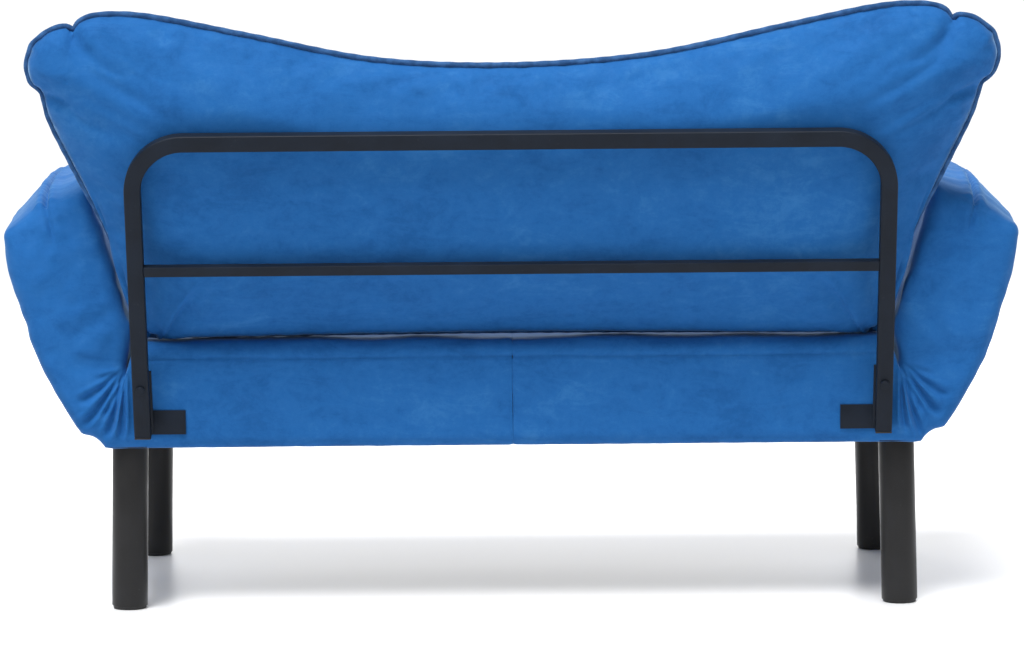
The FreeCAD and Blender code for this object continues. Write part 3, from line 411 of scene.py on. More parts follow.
def done_editing():
    bpy.ops.object.mode_set(mode="OBJECT")


def turned_outwards(piece):
    """Merges a piece's doubles and points all its faces out."""
    edit(piece)
    bpy.ops.mesh.select_all(action="SELECT")
    bpy.ops.mesh.remove_doubles(threshold=0.00002)
    bpy.ops.mesh.normals_make_consistent(inside=False)
    done_editing()


def smoothstep(value, low, high):
    share = np.clip((value - low) / (high - low), 0, 1)
    return share * share * (3 - 2 * share)


def hump(distance, width):
    return np.exp(-(distance / width) ** 2)


def unevenness(points, wavelength, seed, waves=14):
    """A smooth, repeatable unevenness of about this wavelength, mostly between -1 and 1."""
    draw = np.random.default_rng(seed)
    total = np.zeros(points.shape[:-1])
    for _ in range(waves):
        direction = draw.normal(size=3)
        direction *= 2 * math.pi / np.linalg.norm(direction) / wavelength / draw.uniform(0.7, 1.5)
        total += np.sin(points @ direction + draw.uniform(0, 2 * math.pi))
    return total / math.sqrt(waves)


def curve_through(points, count, closed=False, easing=1.0):
    """Evenly spaced points on a smooth line through a few given ones."""
    points = np.array(points, float)
    ends = (points[-1], points[0], points[1]) if closed else (
        2 * points[0] - points[1], 2 * points[-1] - points[-2], None)
    padded = [ends[0], *points, ends[1]] + ([ends[2]] if closed else [])
    line = []
    for before, start, stop, after in zip(padded, padded[1:], padded[2:], padded[3:]):
        for share in np.linspace(0, 1, 24, endpoint=False):
            line.append(0.5 * (2 * start + (stop - before) * share
                               + (2 * before - 5 * start + 4 * stop - after) * share ** 2
                               + (3 * start - before - 3 * stop + after) * share ** 3))
    line = np.array(line + [points[0] if closed else points[-1]])
    length = np.concatenate([[0], np.cumsum(np.linalg.norm(np.diff(line, axis=0), axis=1))])
    wanted = np.linspace(0, 1, count, endpoint=not closed) ** easing * length[-1]
    return np.stack([np.interp(wanted, length, line[:, axis]) for axis in range(line.shape[1])], 1)


def mesh_object(name, vertices, faces):
    mesh = bpy.data.meshes.new(name)
    mesh.from_pydata([tuple(v) for v in np.asarray(vertices).reshape(-1, 3)], [], faces)
    mesh.update()
    piece = bpy.data.objects.new(name, mesh)
    bpy.context.scene.collection.objects.link(piece)
    piece.data.polygons.foreach_set("use_smooth", [True] * len(piece.data.polygons))
    return piece


def grid_normals(grid):
    """Unit normals of a grid of rings: rings along the first axis, closed along the second."""
    along = np.gradient(grid, axis=0)
    around = (np.roll(grid, -1, 1) - np.roll(grid, 1, 1)) / 2
    normal = np.cross(along, around)
    return normal / np.maximum(np.linalg.norm(normal, axis=2, keepdims=True), 1e-12)


# ------------------------------------------------------------------ bench and arms

def arm_place(along, across):
    """World x and z of a point on the left arm: along the arm, and towards the seat."""
    cos, sin = math.cos(FOLD_ANGLE), math.sin(FOLD_ANGLE)
    return HINGE + np.array([along * cos - across * sin, along * sin + across * cos])


def bench_spine(side):
    """Inner and outer ends of each ring from the bench's middle to the arm's tip, and its inset."""
    tip = 0.004 if side > 0 else -0.002
    near = [0.0, 0.001, 0.002, 0.0032, 0.005, 0.008]
    straight = np.concatenate([near, np.linspace(0.014, 0.540, 54)])
    inner = [np.stack([straight, np.full_like(straight, SEAT_TOP)], 1)]
    outer = [np.stack([straight * 0.575 / 0.540, np.full_like(straight, UNDERSIDE)], 1)]
    # the seat's shoulder rolls down into the crease
    inner.append(curve_through([(0.540, 0.416), (0.558, 0.4155), (0.570, 0.4115), (0.577, 0.404),
                                (0.5825, 0.392), (0.5865, 0.379), CREASE], 31, easing=0.8)[1:])
    outer.append(curve_through([(0.575, 0.252), (0.600, 0.2515), (0.614, 0.2515), (0.6245, 0.2528)], 31)[1:])
    # the arm's shoulder rises from it
    inner.append(curve_through([CREASE, (0.5895, 0.380), (0.5885, 0.392), (0.5860, 0.406),
                                (0.5845, 0.419), (0.5845, 0.430), arm_place(0.112, 0.096)],
                               53, easing=1.25)[1:])
    outer.append(curve_through([(0.6245, 0.2528), (0.632, 0.2625), (0.643, 0.2705), (0.6570, 0.2740),
                                (0.6625, 0.2785), (0.682, 0.308), (0.704, 0.3475), (0.7200, 0.3770),
                                (0.7245, 0.3870), arm_place(0.118, -0.0535)], 53)[1:])
    # the arm runs on to its tip
    start = (0.319 + tip - TIP_TURN, 0.292 + tip - TIP_TURN)
    inner.append(curve_through([arm_place(0.112, 0.096), arm_place(0.160, 0.0965),
                                arm_place(0.240, 0.096), arm_place(start[0], 0.095)], 47)[1:])
    outer.append(curve_through([arm_place(0.118, -0.0535), arm_place(0.180, -0.055),
                                arm_place(0.240, -0.055), arm_place(start[1], -0.0505)], 47)[1:])
    # and turns over it
    turn = np.radians(np.linspace(0, 90, 10)[1:])
    inner.append(np.array([arm_place(start[0] + TIP_TURN * math.sin(a), 0.095) for a in turn]))
    outer.append(np.array([arm_place(start[1] + TIP_TURN * math.sin(a), -0.0505) for a in turn]))
    inner, outer = np.concatenate(inner), np.concatenate(outer)
    inset = np.zeros(len(inner))
    inset[:len(near)] = 0.0013 * (1 - np.array(near) / near[-1]) ** 2
    inset[-len(turn):] = TIP_TURN * (1 - np.cos(turn))
    return inner, outer, inset


def arm_share(points):
    """Distance along the arm and towards the seat of every point, on the left side's frame."""
    local = points[..., [0, 2]] - HINGE
    cos, sin = math.cos(FOLD_ANGLE), math.sin(FOLD_ANGLE)
    return (local[..., 0] * cos + local[..., 1] * sin, local[..., 1] * cos - local[..., 0] * sin)


def tip_dome(points):
    """How far the stuffed tip swells along the arm: most at mid depth, least at its outer edge."""
    along, inward = arm_share(points)
    middle = np.abs(points[..., 1] - (FRONT + REAR) / 2) / ((REAR - FRONT) / 2)
    swell = 0.034 * np.sqrt(np.clip(1 - np.clip(middle, 0, 1) ** 2.2, 0, 1))
    swell *= smoothstep(along, 0.20, 0.33) * (1 - 0.45 * smoothstep(-inward, -0.01, 0.055))
    return swell[..., None] * np.array([math.cos(FOLD_ANGLE), 0, math.sin(FOLD_ANGLE)])


def rounded_ring(height, inset, radius):
    """A rounded rectangle: shares of the height and depths, starting at the top front corner."""
    low_y, high_y = FRONT + inset, REAR - inset
    low_h, high_h = inset, height - inset
    radius = max(radius - inset, 0.003)
    quarter = np.radians(np.linspace(0, 45, 5))
    y_run = np.linspace(low_y + radius, high_y - radius, LONG_POINTS - 7)
    h_run = np.linspace(high_h - radius, low_h + radius, TALL_POINTS - 7)
    lead = radius * (1 - np.cos(quarter)), radius * (1 - np.sin(quarter))

    def side(run, level, inward, ends):
        """One side, from one corner's middle to the next one's."""
        first, last = ends
        before = [(first + (r if first < last else -r), level + inward * d)
                  for d, r in list(zip(*lead))[::-1][:-1]]
        after = [(last - (r if first < last else -r), level + inward * d)
                 for d, r in list(zip(*lead))[1:]]
        return before + [(value, level) for value in run] + after[:-1]

    top = [(h, y) for y, h in side(y_run, high_h, -1, (low_y, high_y))]
    rear = [(h, y) for h, y in side(h_run, high_y, -1, (high_h, low_h))]
    bottom = [(h, y) for y, h in side(y_run[::-1], low_h, 1, (high_y, low_y))]
    front = [(h, y) for h, y in side(h_run[::-1], low_y, 1, (low_h, high_h))]
    return np.array(top + rear + bottom + front)


def gathers(across, up, seed):
    """Depth of the folds that fan out from the crease on the arm's front and rear faces."""
    ahead, below = across - CREASE[0], CREASE[1] - up
    distance = np.hypot(ahead, below)
    turn = np.degrees(np.arctan2(below, ahead))
    draw = np.random.default_rng(seed)
    depth = 0.0070 * hump(distance - 0.062, 0.042) * smoothstep(turn, -20, 20)
    depth *= 1 - smoothstep(turn, 85, 110)
    for angle, length, deep, width in ((10, 0.060, 0.0034, 0.0038), (27, 0.095, 0.0060, 0.0044),
                                       (45, 0.112, 0.0078, 0.0040), (56, 0.092, 0.0066, 0.0032),
                                       (66, 0.120, 0.0074, 0.0036), (78, 0.105, 0.0056, 0.0032)):
        length *= draw.uniform(0.92, 1.08)
        off = np.radians(turn - angle - 7 * np.sin(distance / length * 2.4))
        along = distance * np.cos(off)
        apart = distance * np.sin(off)
        reach = smoothstep(along, 0.004, 0.022) * (1 - smoothstep(along, length - 0.022, length))
        spread = width * (0.6 + 0.9 * np.clip(along / length, 0, 1))
        depth -= deep * reach * hump(apart, spread)
        depth += 0.45 * deep * reach * hump(apart - 1.9 * spread, spread * 0.8)
        depth += 0.35 * deep * reach * hump(apart + 1.9 * spread, spread * 0.8)
    return depth


def bench_folds(grid, normal, side):
    """How far the velvet stands off the plain shape, in metres, at every point of a half."""
    across, depth, up = grid[..., 0], grid[..., 1], grid[..., 2]
    rear = smoothstep(normal[..., 1], 0.35, 0.8)
    front = smoothstep(-normal[..., 1], 0.35, 0.8)
    flank = rear + front
    along, inward = arm_share(grid)
    on_bench = 1 - smoothstep(across, 0.535, 0.575)
    on_arm = smoothstep(along, 0.03, 0.12) * (1 - on_bench)
    seat_up = smoothstep(normal[..., 2], 0.5, 0.9) * on_bench
    seed = 11 if side > 0 else 23

    drop = bpy.context.scene.futon_fabric.seam_drop
    seam = up - (SEAT_TOP - drop) - 0.0010 * unevenness(grid, 0.12, seed + 1)
    stitched = on_bench * flank
    fold = -0.0030 * stitched * hump(seam, 0.0024)
    fold += 0.0012 * stitched * hump(seam - 0.010, 0.008)
    fold += 0.0010 * stitched * hump(seam + 0.012, 0.010)
    fold += 0.0007 * stitched * hump(seam, 0.016) * unevenness(grid, 0.022, seed + 2)

    fold += 0.0018 * rear * on_bench * hump(up - 0.325, 0.045) * smoothstep(across, 0.0, 0.05)
    fold += 0.005 * front * on_bench * hump(up - 0.325, 0.055) * smoothstep(across, 0.0, 0.05)
    dip = hump(up - 0.318, 0.030) * hump(across - 0.012, 0.020)
    fold -= 0.0016 * rear * dip

    middle = (depth - (FRONT + REAR) / 2) / ((REAR - FRONT) / 2)
    fold += 0.006 * seat_up * (1 - middle ** 2) * smoothstep(across, 0.0, 0.06)
    fold += 0.0016 * seat_up * unevenness(grid, 0.16, seed + 3)

    puff = 1 - np.clip(np.abs(inward - 0.022) / 0.075, 0, 1) ** 2
    puff *= smoothstep(along, 0.02, 0.10) * (1 - smoothstep(along, 0.24, 0.315))
    fold += 0.009 * flank * on_arm * puff
    faces = (1 - np.clip(flank, 0, 1)) * on_arm
    fold += 0.005 * faces * (1 - middle ** 2) * (1 - smoothstep(along, 0.26, 0.31))
    fold += 0.0012 * on_arm * unevenness(grid, 0.09, seed + 4)
    fold += 0.0005 * unevenness(grid, 0.035, seed + 5) * (0.4 + on_arm)

    fold += flank * (1 - smoothstep(along, 0.11, 0.17)) * gathers(across, up, seed)
    # slack folds lie across the arm's faces above the gathers
    slack = np.sin((along - 0.35 * inward) / 0.0105 + 2.2 * unevenness(grid, 0.14, seed + 6))
    fold += 0.0011 * flank * on_arm * slack * hump(along - 0.125, 0.035)
    # the tip's seam, gathered into small puckers, turns over onto both flanks
    tip = smoothstep(along, 0.262, 0.288)
    seam = inward - TIP_SEAM
    fold -= 0.0042 * tip * hump(seam, 0.0035)
    fold += 0.0022 * tip * hump(np.abs(seam) - 0.011, 0.008)
    pucker = np.sin(depth / PUCKER_PITCH + 1.5 * unevenness(grid, 0.05, seed + 7))
    fold += 0.0016 * tip * hump(seam, 0.019) * pucker
    return fold


def fill_cap(ring, bulge):
    """Interior points of a grid stretched over a ring with four sides, crowned along a vector."""
    top = ring[:LONG_POINTS + 1]
    rear = ring[LONG_POINTS:LONG_POINTS + TALL_POINTS + 1]
    bottom = ring[LONG_POINTS + TALL_POINTS:2 * LONG_POINTS + TALL_POINTS + 1][::-1]
    front = np.concatenate([ring[2 * LONG_POINTS + TALL_POINTS:], ring[:1]])[::-1]
    u = np.linspace(0, 1, LONG_POINTS + 1)[:, None, None]
    v = np.linspace(0, 1, TALL_POINTS + 1)[None, :, None]
    patch = ((1 - v) * top[:, None] + v * bottom[:, None] + (1 - u) * front[None] + u * rear[None]
             - (1 - u) * (1 - v) * top[0] - u * (1 - v) * top[-1]
             - (1 - u) * v * bottom[0] - u * v * bottom[-1])
    crown = (1 - (2 * u - 1) ** 4) * (1 - (2 * v - 1) ** 2)
    return patch + crown * bulge


def cap_faces(first_ring, first_inside, flip):
    """Faces that join the ring's points to the interior points of its cap."""
    around = 2 * (LONG_POINTS + TALL_POINTS)

    def index(i, j):
        if j == 0:
            return first_ring + i
        if i == LONG_POINTS:
            return first_ring + LONG_POINTS + j
        if j == TALL_POINTS:
            return first_ring + 2 * LONG_POINTS + TALL_POINTS - i
        if i == 0:
            return first_ring + (around - j) % around
        return first_inside + (i - 1) * (TALL_POINTS - 1) + j - 1

    faces = [(index(i, j), index(i + 1, j), index(i + 1, j + 1), index(i, j + 1))
             for i in range(LONG_POINTS) for j in range(TALL_POINTS)]
    return [face[::-1] for face in faces] if flip else faces


def make_bench_half(name, side):
    """Half of the bench cover with its arm: rings from the middle seam to the arm's tip."""
    fabric = bpy.context.scene.futon_fabric
    inner, outer, inset = bench_spine(side)
    rings = []
    for top, bottom, inward in zip(inner, outer, inset):
        height = np.linalg.norm(top - bottom)
        section = rounded_ring(height, inward, fabric.edge_radius)
        spot = bottom + np.outer(section[:, 0] / height, top - bottom)
        rings.append(np.stack([spot[:, 0], section[:, 1], spot[:, 1]], 1))
    grid = np.array(rings)
    normal = grid_normals(grid)
    if normal[10, LONG_POINTS // 2, 2] < 0:
        normal = -normal
    grid = grid + normal * bench_folds(grid, normal, side)[..., None]

    tip_way = np.array([math.cos(FOLD_ANGLE), 0, math.sin(FOLD_ANGLE)])
    start = fill_cap(grid[0], np.zeros(3))
    tip = fill_cap(grid[-1], tip_way * 0.004)
    pucker = np.sin(tip[..., 1] / PUCKER_PITCH + 1.5 * unevenness(tip, 0.05, 7))
    seam = arm_share(tip)[1] - TIP_SEAM
    lift = (-0.0045 * hump(seam, 0.0035) + 0.0022 * hump(np.abs(seam) - 0.011, 0.008)
            + 0.0015 * hump(seam, 0.019) * pucker)
    inside = np.zeros_like(lift)
    inside[1:-1, 1:-1] = 1
    tip = tip + tip_way * (lift * inside)[..., None]

    around = grid.shape[1]
    count = grid.shape[0]
    faces = [(i * around + j, i * around + (j + 1) % around,
              (i + 1) * around + (j + 1) % around, (i + 1) * around + j)
             for i in range(count - 1) for j in range(around)]
    points = [grid.reshape(-1, 3), start[1:-1, 1:-1].reshape(-1, 3), tip[1:-1, 1:-1].reshape(-1, 3)]
    first_start = count * around
    first_tip = first_start + len(points[1])
    faces += cap_faces(0, first_start, True)
    faces += cap_faces((count - 1) * around, first_tip, False)
    points = np.concatenate(points)
    points += tip_dome(points)
    points[:, 0] *= side
    half = mesh_object(name, points, faces)
    turned_outwards(half)
    half.data.polygons.foreach_set("use_smooth", [True] * len(half.data.polygons))
    return half


class MESH_OT_futon_bench(bpy.types.Operator):
    """Sews the bench cover's halves, each running through the crease up its arm"""
    bl_idname = "mesh.futon_bench"
    bl_label = "Bench and arms"

    def execute(self, context):
        for name, side in SIDES.items():
            half = make_bench_half(f"{name}_bench_half", side)
            nodes = [f"{name}_arm_cover", f"{name}_arm_foam"]
            nodes.append("seat_cover" if side > 0 else "seat_foam")
            finish_piece(half, f"{name}_bench_half", "blue_velvet", None, *nodes)
            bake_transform(half)
        return {"FINISHED"}


# ------------------------------------------------------------------ back cushion

def back_place(across, out, up):
    """World place of a point on the back: across, behind the hoop's front face, up its lean."""
    cos, sin = math.cos(LEAN), math.sin(LEAN)
    return np.stack([across, BACK_FOOT[0] + out * cos + up * sin,
                     BACK_FOOT[1] - out * sin + up * cos], -1)


# Half of the cushion's seam line, across and up the lean in millimetres: its foot, its side
# from the foot's corner up to the ear, and its crown from the ear past the notch to the middle
FOOT = ((550, 130), (520, 126), (0, 129))
SIDE = ((550, 130), (575, 155), (595, 240), (610, 300), (640, 365), (665, 420), (690, 480),
        (700, 525), (715, 540), (720, 570), (710, 600))
CROWN = ((710, 600), (685, 620), (660, 627), (650, 620), (635, 637), (600, 645), (530, 640),
         (390, 610), (200, 570), (0, 560))
EAR_OUT, EAR_LIFT = 0.010, 0.006               # how much larger the right ear is sewn
CUSHION_ACROSS, CUSHION_UP = 200, 84
SEAM_PLANE = -0.078
BELLY_SLUMP = 0.024


def seam_out(up):
    """Where the seam lies in the back's depth: it tucks forward under the cushion's foot."""
    return SEAM_PLANE - 0.012 * (1 - smoothstep(up, 0.12, 0.26))


def seam_points(points, side):
    """One side's share of the seam line in metres, with the right ear sewn a little larger."""
    across, up = (np.array(points) * MM).T
    ear = smoothstep(up, 0.45, 0.62) * (side < 0)
    return np.stack([side * (across + EAR_OUT * ear), up + EAR_LIFT * ear], 1)


def both_sides(points):
    """A line that runs from the left to the middle, carried on to the right."""
    return np.concatenate([seam_points(points, 1), seam_points(points, -1)[-2::-1]])


def cushion_grid():
    """Seam-plane points of the cushion: a grid stretched between its four edges."""
    top = curve_through(both_sides(CROWN), CUSHION_ACROSS + 1)
    bottom = curve_through(both_sides(FOOT), CUSHION_ACROSS + 1)
    left = curve_through(seam_points(SIDE, 1), CUSHION_UP + 1)
    right = curve_through(seam_points(SIDE, -1), CUSHION_UP + 1)
    u = np.linspace(0, 1, CUSHION_ACROSS + 1)[:, None, None]
    v = np.linspace(0, 1, CUSHION_UP + 1)[None, :, None]
    return ((1 - v) * bottom[:, None] + v * top[:, None] + (1 - u) * left[None] + u * right[None]
            - (1 - u) * (1 - v) * bottom[0] - u * (1 - v) * bottom[-1]
            - (1 - u) * v * top[0] - u * v * top[-1])


def edge_distance(flat, rim):
    """Distance of every grid point from the seam line."""
    points = flat.reshape(-1, 2)
    best = np.full(len(points), 9.0)
    for start in range(0, len(rim), 64):
        block = rim[start:start + 64]
        best = np.minimum(best, np.linalg.norm(points[:, None] - block[None], axis=2).min(1))
    return best.reshape(flat.shape[:2])


def cushion_rim(flat):
    return np.concatenate([flat[:, 0], flat[-1, 1:], flat[-2::-1, -1], flat[0, -2:0:-1]])


def inflate(piece, pinned, pressure, frames, cap):
    """Swells a closed shape with cloth pressure, its seam pinned, no point moving past the cap."""
    before = np.array([v.co for v in piece.data.vertices])
    group = piece.vertex_groups.new(name="seam")
    group.add([int(i) for i in pinned], 1.0, "REPLACE")
    cloth = piece.modifiers.new("Cloth", "CLOTH")
    settings = cloth.settings
    settings.vertex_group_mass = "seam"
    settings.use_pressure = True
    settings.uniform_pressure_force = pressure
    settings.quality = 5
    settings.mass = 0.35
    settings.tension_stiffness = settings.compression_stiffness = 12
    settings.shear_stiffness = 6
    settings.bending_stiffness = 0.4
    settings.effector_weights.gravity = 0
    cloth.collision_settings.use_collision = False
    scene = bpy.context.scene
    scene.frame_start, scene.frame_end = 1, frames
    cloth.point_cache.frame_start, cloth.point_cache.frame_end = 1, frames
    for number in range(1, frames + 1):
        scene.frame_set(number)
    shaped = piece.evaluated_get(bpy.context.evaluated_depsgraph_get())
    after = np.array([v.co for v in shaped.data.vertices])
    piece.modifiers.remove(cloth)
    piece.vertex_groups.clear()
    scene.frame_set(1)
    move = after - before
    length = np.linalg.norm(move, axis=1, keepdims=True)
    return before + move * np.minimum(1, cap / np.maximum(length, 1e-9))


def cushion_folds(flat, rim_gap, face, seed):
    """Puckers along the piping, pulls at the ears and soft dents, as a height off one face."""
    across, up = flat[..., 0], flat[..., 1]
    points = np.stack([across, up, np.full_like(across, 0.3 * face)], -1)
    near = hump(rim_gap - 0.012, 0.016) * smoothstep(rim_gap, 0.0, 0.006)
    high = smoothstep(up, 0.40, 0.52)
    height = 0.0016 * near * unevenness(points, 0.030, seed) * (0.5 + high)
    height += 0.0035 * smoothstep(rim_gap, 0.01, 0.07) * unevenness(points, 0.28, seed + 1)
    height += 0.0012 * smoothstep(rim_gap, 0.01, 0.05) * unevenness(points, 0.085, seed + 2)
    for side in SIDES.values():
        # folds run in from the notch and from under the ear
        for spot, angle, length, deep, width in (
                ((0.650, 0.620), -110, 0.070, 0.0050, 0.0060), ((0.650, 0.620), -80, 0.040, 0.0030, 0.0050),
                ((0.700, 0.525), -170, 0.065, 0.0065, 0.0075), ((0.710, 0.545), 175, 0.040, 0.0035, 0.0060),
                ((0.665, 0.420), 160, 0.060, 0.0026, 0.0080), ((0.610, 0.310), 170, 0.070, 0.0022, 0.0090)):
            ahead, rise = across * side - spot[0], up - spot[1]
            way = math.radians(angle)
            along = ahead * math.cos(way) + rise * math.sin(way)
            apart = -ahead * math.sin(way) + rise * math.cos(way) + along ** 2 * 1.5
            reach = smoothstep(along, -0.004, 0.010) * (1 - smoothstep(along, length * 0.4, length))
            height -= deep * reach * hump(apart, width * (1 + along / length))
            height += 0.5 * deep * reach * hump(apart - 2.0 * width, width * 1.2)
    return height


def make_cushion():
    """The cushion and its seam line: two crowned faces, swelled and pressed against the hoop."""
    fabric = bpy.context.scene.futon_fabric
    flat = cushion_grid()
    rim = cushion_rim(flat)
    gap = edge_distance(flat, rim)
    reach = 0.150 + 0.075 * (1 - smoothstep(flat[..., 1], 0.15, 0.42))
    profile = np.sqrt(1 - (1 - np.clip(gap / reach, 0, 1)) ** 2.1)
    half_depth = fabric.cushion_depth / 2
    rows, columns = flat.shape[:2]
    seam = seam_out(flat[..., 1])
    front_out = seam - (half_depth - 0.012) * profile
    rear_out = SEAM_PLANE + (half_depth - 0.010) * profile + (seam - SEAM_PLANE) * (1 - profile)
    rear, front = (back_place(flat[..., 0], out, flat[..., 1]) for out in (rear_out, front_out))
    rear_index = np.arange(rows * columns).reshape(rows, columns)
    front_index = rear_index.copy()
    inside = np.zeros((rows, columns), bool)
    inside[1:-1, 1:-1] = True
    front_index[inside] = rows * columns + np.arange(inside.sum())
    points = np.concatenate([rear.reshape(-1, 3), front[inside]])
    faces = []
    for index, flip in ((rear_index, False), (front_index, True)):
        quads = np.stack([index[:-1, :-1], index[1:, :-1], index[1:, 1:], index[:-1, 1:]], -1)
        quads = quads.reshape(-1, 4)
        faces += [tuple(int(i) for i in (quad[::-1] if flip else quad)) for quad in quads]
    cushion = mesh_object("back_cushion", points, faces)
    turned_outwards(cushion)
    pinned = rear_index[~inside]
    points = inflate(cushion, pinned, pressure=4.0, frames=20, cap=0.022)
    # back in the cushion's own directions: keep clear of the hoop and press round its tubes
    cos, sin = math.cos(LEAN), math.sin(LEAN)
    flat_y, flat_z = points[:, 1] - BACK_FOOT[0], points[:, 2] - BACK_FOOT[1]
    out, up = flat_y * cos - flat_z * sin, flat_y * sin + flat_z * cos
    across = points[:, 0]
    # the belly slumps over its foot seam and rests on the seat
    swell = np.concatenate([profile.ravel(), profile[inside]])
    slump = BELLY_SLUMP * (1 - smoothstep(up, 0.13, 0.30)) * smoothstep(swell, 0.0, 0.45)
    seat_line = (SEAT_TOP + 0.001 - BACK_FOOT[1] + out * sin) / cos
    up = np.where(swell > 0.02, np.maximum(up - slump, np.minimum(seat_line, up)), up)
    is_rear = np.zeros(len(points), bool)
    is_rear[:rows * columns] = True
    is_rear[pinned.ravel()] = False
    gaps = np.concatenate([gap.ravel(), gap[inside]])
    plane = np.stack([across, up], 1)
    rise = np.where(is_rear, cushion_folds(plane, gaps, 1, 41), cushion_folds(plane, gaps, -1, 57))
    edge = np.zeros(len(points), bool)
    edge[pinned.ravel()] = True
    rise[edge] = 0
    out = np.where(is_rear, out + rise, out - rise)
    limit = -0.0025 + 0.006 * smoothstep(up, HOOP_TOP + 0.004, HOOP_TOP + 0.05)
    soft = 0.010
    over = np.maximum(out - (limit - soft), 0)
    out = np.where(is_rear, np.where(over > 0, limit - soft + soft * (1 - np.exp(-over / soft)), out), out)
    front_limit = SEAM_PLANE - 0.080
    out = np.where(~is_rear & ~edge, np.maximum(out, front_limit), out)
    placed = back_place(across, out, up)
    cushion.data.vertices.foreach_set("co", placed.ravel())
    cushion.data.update()
    return cushion, rim


def make_piping(rim):
    """The corded edge: a round cord sewn all along the seam line."""
    fabric = bpy.context.scene.futon_fabric
    line = curve_through(rim[::2], 900, closed=True)
    centre = back_place(line[:, 0], seam_out(line[:, 1]), line[:, 1])
    ahead = np.roll(centre, -1, 0) - np.roll(centre, 1, 0)
    ahead /= np.linalg.norm(ahead, axis=1, keepdims=True)
    depth = np.array([0, math.cos(LEAN), -math.sin(LEAN)])
    outward = np.cross(ahead, depth)
    outward /= np.linalg.norm(outward, axis=1, keepdims=True)
    middle = centre.mean(0)
    if ((centre[0] - middle) @ outward[0]) < 0:
        outward = -outward
    sides = 12
    turn = np.linspace(0, 2 * math.pi, sides, endpoint=False)
    radius = fabric.piping_radius * (1 + 0.06 * np.sin(np.arange(len(line)) * 0.9))
    ring = (np.cos(turn)[None, :, None] * outward[:, None] + np.sin(turn)[None, :, None] * depth)
    points = centre[:, None] + outward[:, None] * 0.0012 + ring * radius[:, None, None]
    count = len(line)
    faces = [(i * sides + j, ((i + 1) % count) * sides + j,
              ((i + 1) % count) * sides + (j + 1) % sides, i * sides + (j + 1) % sides)
             for i in range(count) for j in range(sides)]
    piping = mesh_object("back_cushion_cord", points, faces)
    turned_outwards(piping)
    return piping


class MESH_OT_futon_cushion(bpy.types.Operator):
    """Fills the winged back cushion and sews its corded edge"""
    bl_idname = "mesh.futon_cushion"
    bl_label = "Back cushion"

    def execute(self, context):
        cushion, rim = make_cushion()
        finish_piece(cushion, "winged_back_cushion", "blue_velvet", "back_cushion",
                     "back_cushion_core", "back_cushion_cover")
        finish_piece(make_piping(rim), "corded_edge", "navy_piping", "back_cushion",
                     "back_cushion_piping")
        return {"FINISHED"}


# ------------------------------------------------------------------ metal

def lean_back(piece):
    """Tips a piece that was built upright at the back frame's foot to the back's lean."""
    piece.rotation_euler = (-LEAN, 0, 0)
    piece.location = (0, BACK_FOOT[0], BACK_FOOT[1])
    settle_transform(piece)


class MESH_OT_futon_hoop(bpy.types.Operator):
    """Bends the back frame's hoop from square tube"""
    bl_idname = "mesh.futon_hoop"
    bl_label = "Back frame"

    def execute(self, context):
        metal = context.scene.futon_metal
        reach = HOOP_HIGH.x
        bend = metal.bend_radius
        centre_reach = reach - TUBE_WIDTH / 2
        clear_selection()
        bpy.ops.mesh.primitive_plane_add(size=1, location=(centre_reach, TUBE_DEPTH / 2, 0))
        hoop = context.object
        hoop.scale = (TUBE_WIDTH, TUBE_DEPTH, 1)
        settle_transform(hoop)
        edit(hoop)
        bpy.ops.mesh.select_all(action="SELECT")
        bpy.ops.mesh.extrude_region_move(
            TRANSFORM_OT_translate={"value": (0, 0, HOOP_TOP - bend)})
        for corner in (1, -1):
            bpy.ops.mesh.spin(steps=20, angle=math.pi / 2, axis=(0, 1, 0),
                              center=(corner * (reach - bend), 0, HOOP_TOP - bend))
            run = (-2 * (reach - bend), 0, 0) if corner > 0 else (0, 0, -(HOOP_TOP - bend))
            bpy.ops.mesh.extrude_region_move(TRANSFORM_OT_translate={"value": run})
        done_editing()
        turned_outwards(hoop)
        apply_modifier(hoop, "BEVEL", width=metal.edge, segments=3, limit_method="ANGLE",
                       angle_limit=math.radians(40))
        lean_back(hoop)
        smooth(hoop)
        finish_piece(hoop, "bent_hoop", "charcoal_paint", "root", "back_frame_hoop")
        return {"FINISHED"}


def refined_copy(node, width, segments=2):
    """A copy of a CAD node's mesh, merged and with its hard edges eased."""
    source = frame["nodes"][node]
    copy = bpy.data.objects.new(node + "_eased", source.data.copy())
    bpy.context.scene.collection.objects.link(copy)
    edit(copy)
    bpy.ops.mesh.select_all(action="SELECT")
    bpy.ops.mesh.remove_doubles(threshold=0.00002)
    bpy.ops.mesh.dissolve_limited(angle_limit=math.radians(1))
    done_editing()
    apply_modifier(copy, "BEVEL", width=width, segments=segments, limit_method="ANGLE",
                   angle_limit=math.radians(50))
    smooth(copy)
    return copy


class MESH_OT_futon_fittings(bpy.types.Operator):
    """Eases the edges of the crossbar, brackets, plugs and bolts"""
    bl_idname = "mesh.futon_fittings"
    bl_label = "Fittings"

    def execute(self, context):
        fittings = {"back_frame_crossbar": (0.0018, "charcoal_paint"),
                    "left_bracket": (0.0009, "charcoal_paint"),
                    "right_bracket": (0.0009, "charcoal_paint"),
                    "left_end_plug": (0.0008, "black_plastic"),
                    "right_end_plug": (0.0008, "black_plastic"),
                    "back_frame_bolts": (0.0006, "charcoal_paint")}
        for node, (width, slot) in fittings.items():
            finish_piece(refined_copy(node, width), node + "_eased", slot, "root", node)
        return {"FINISHED"}


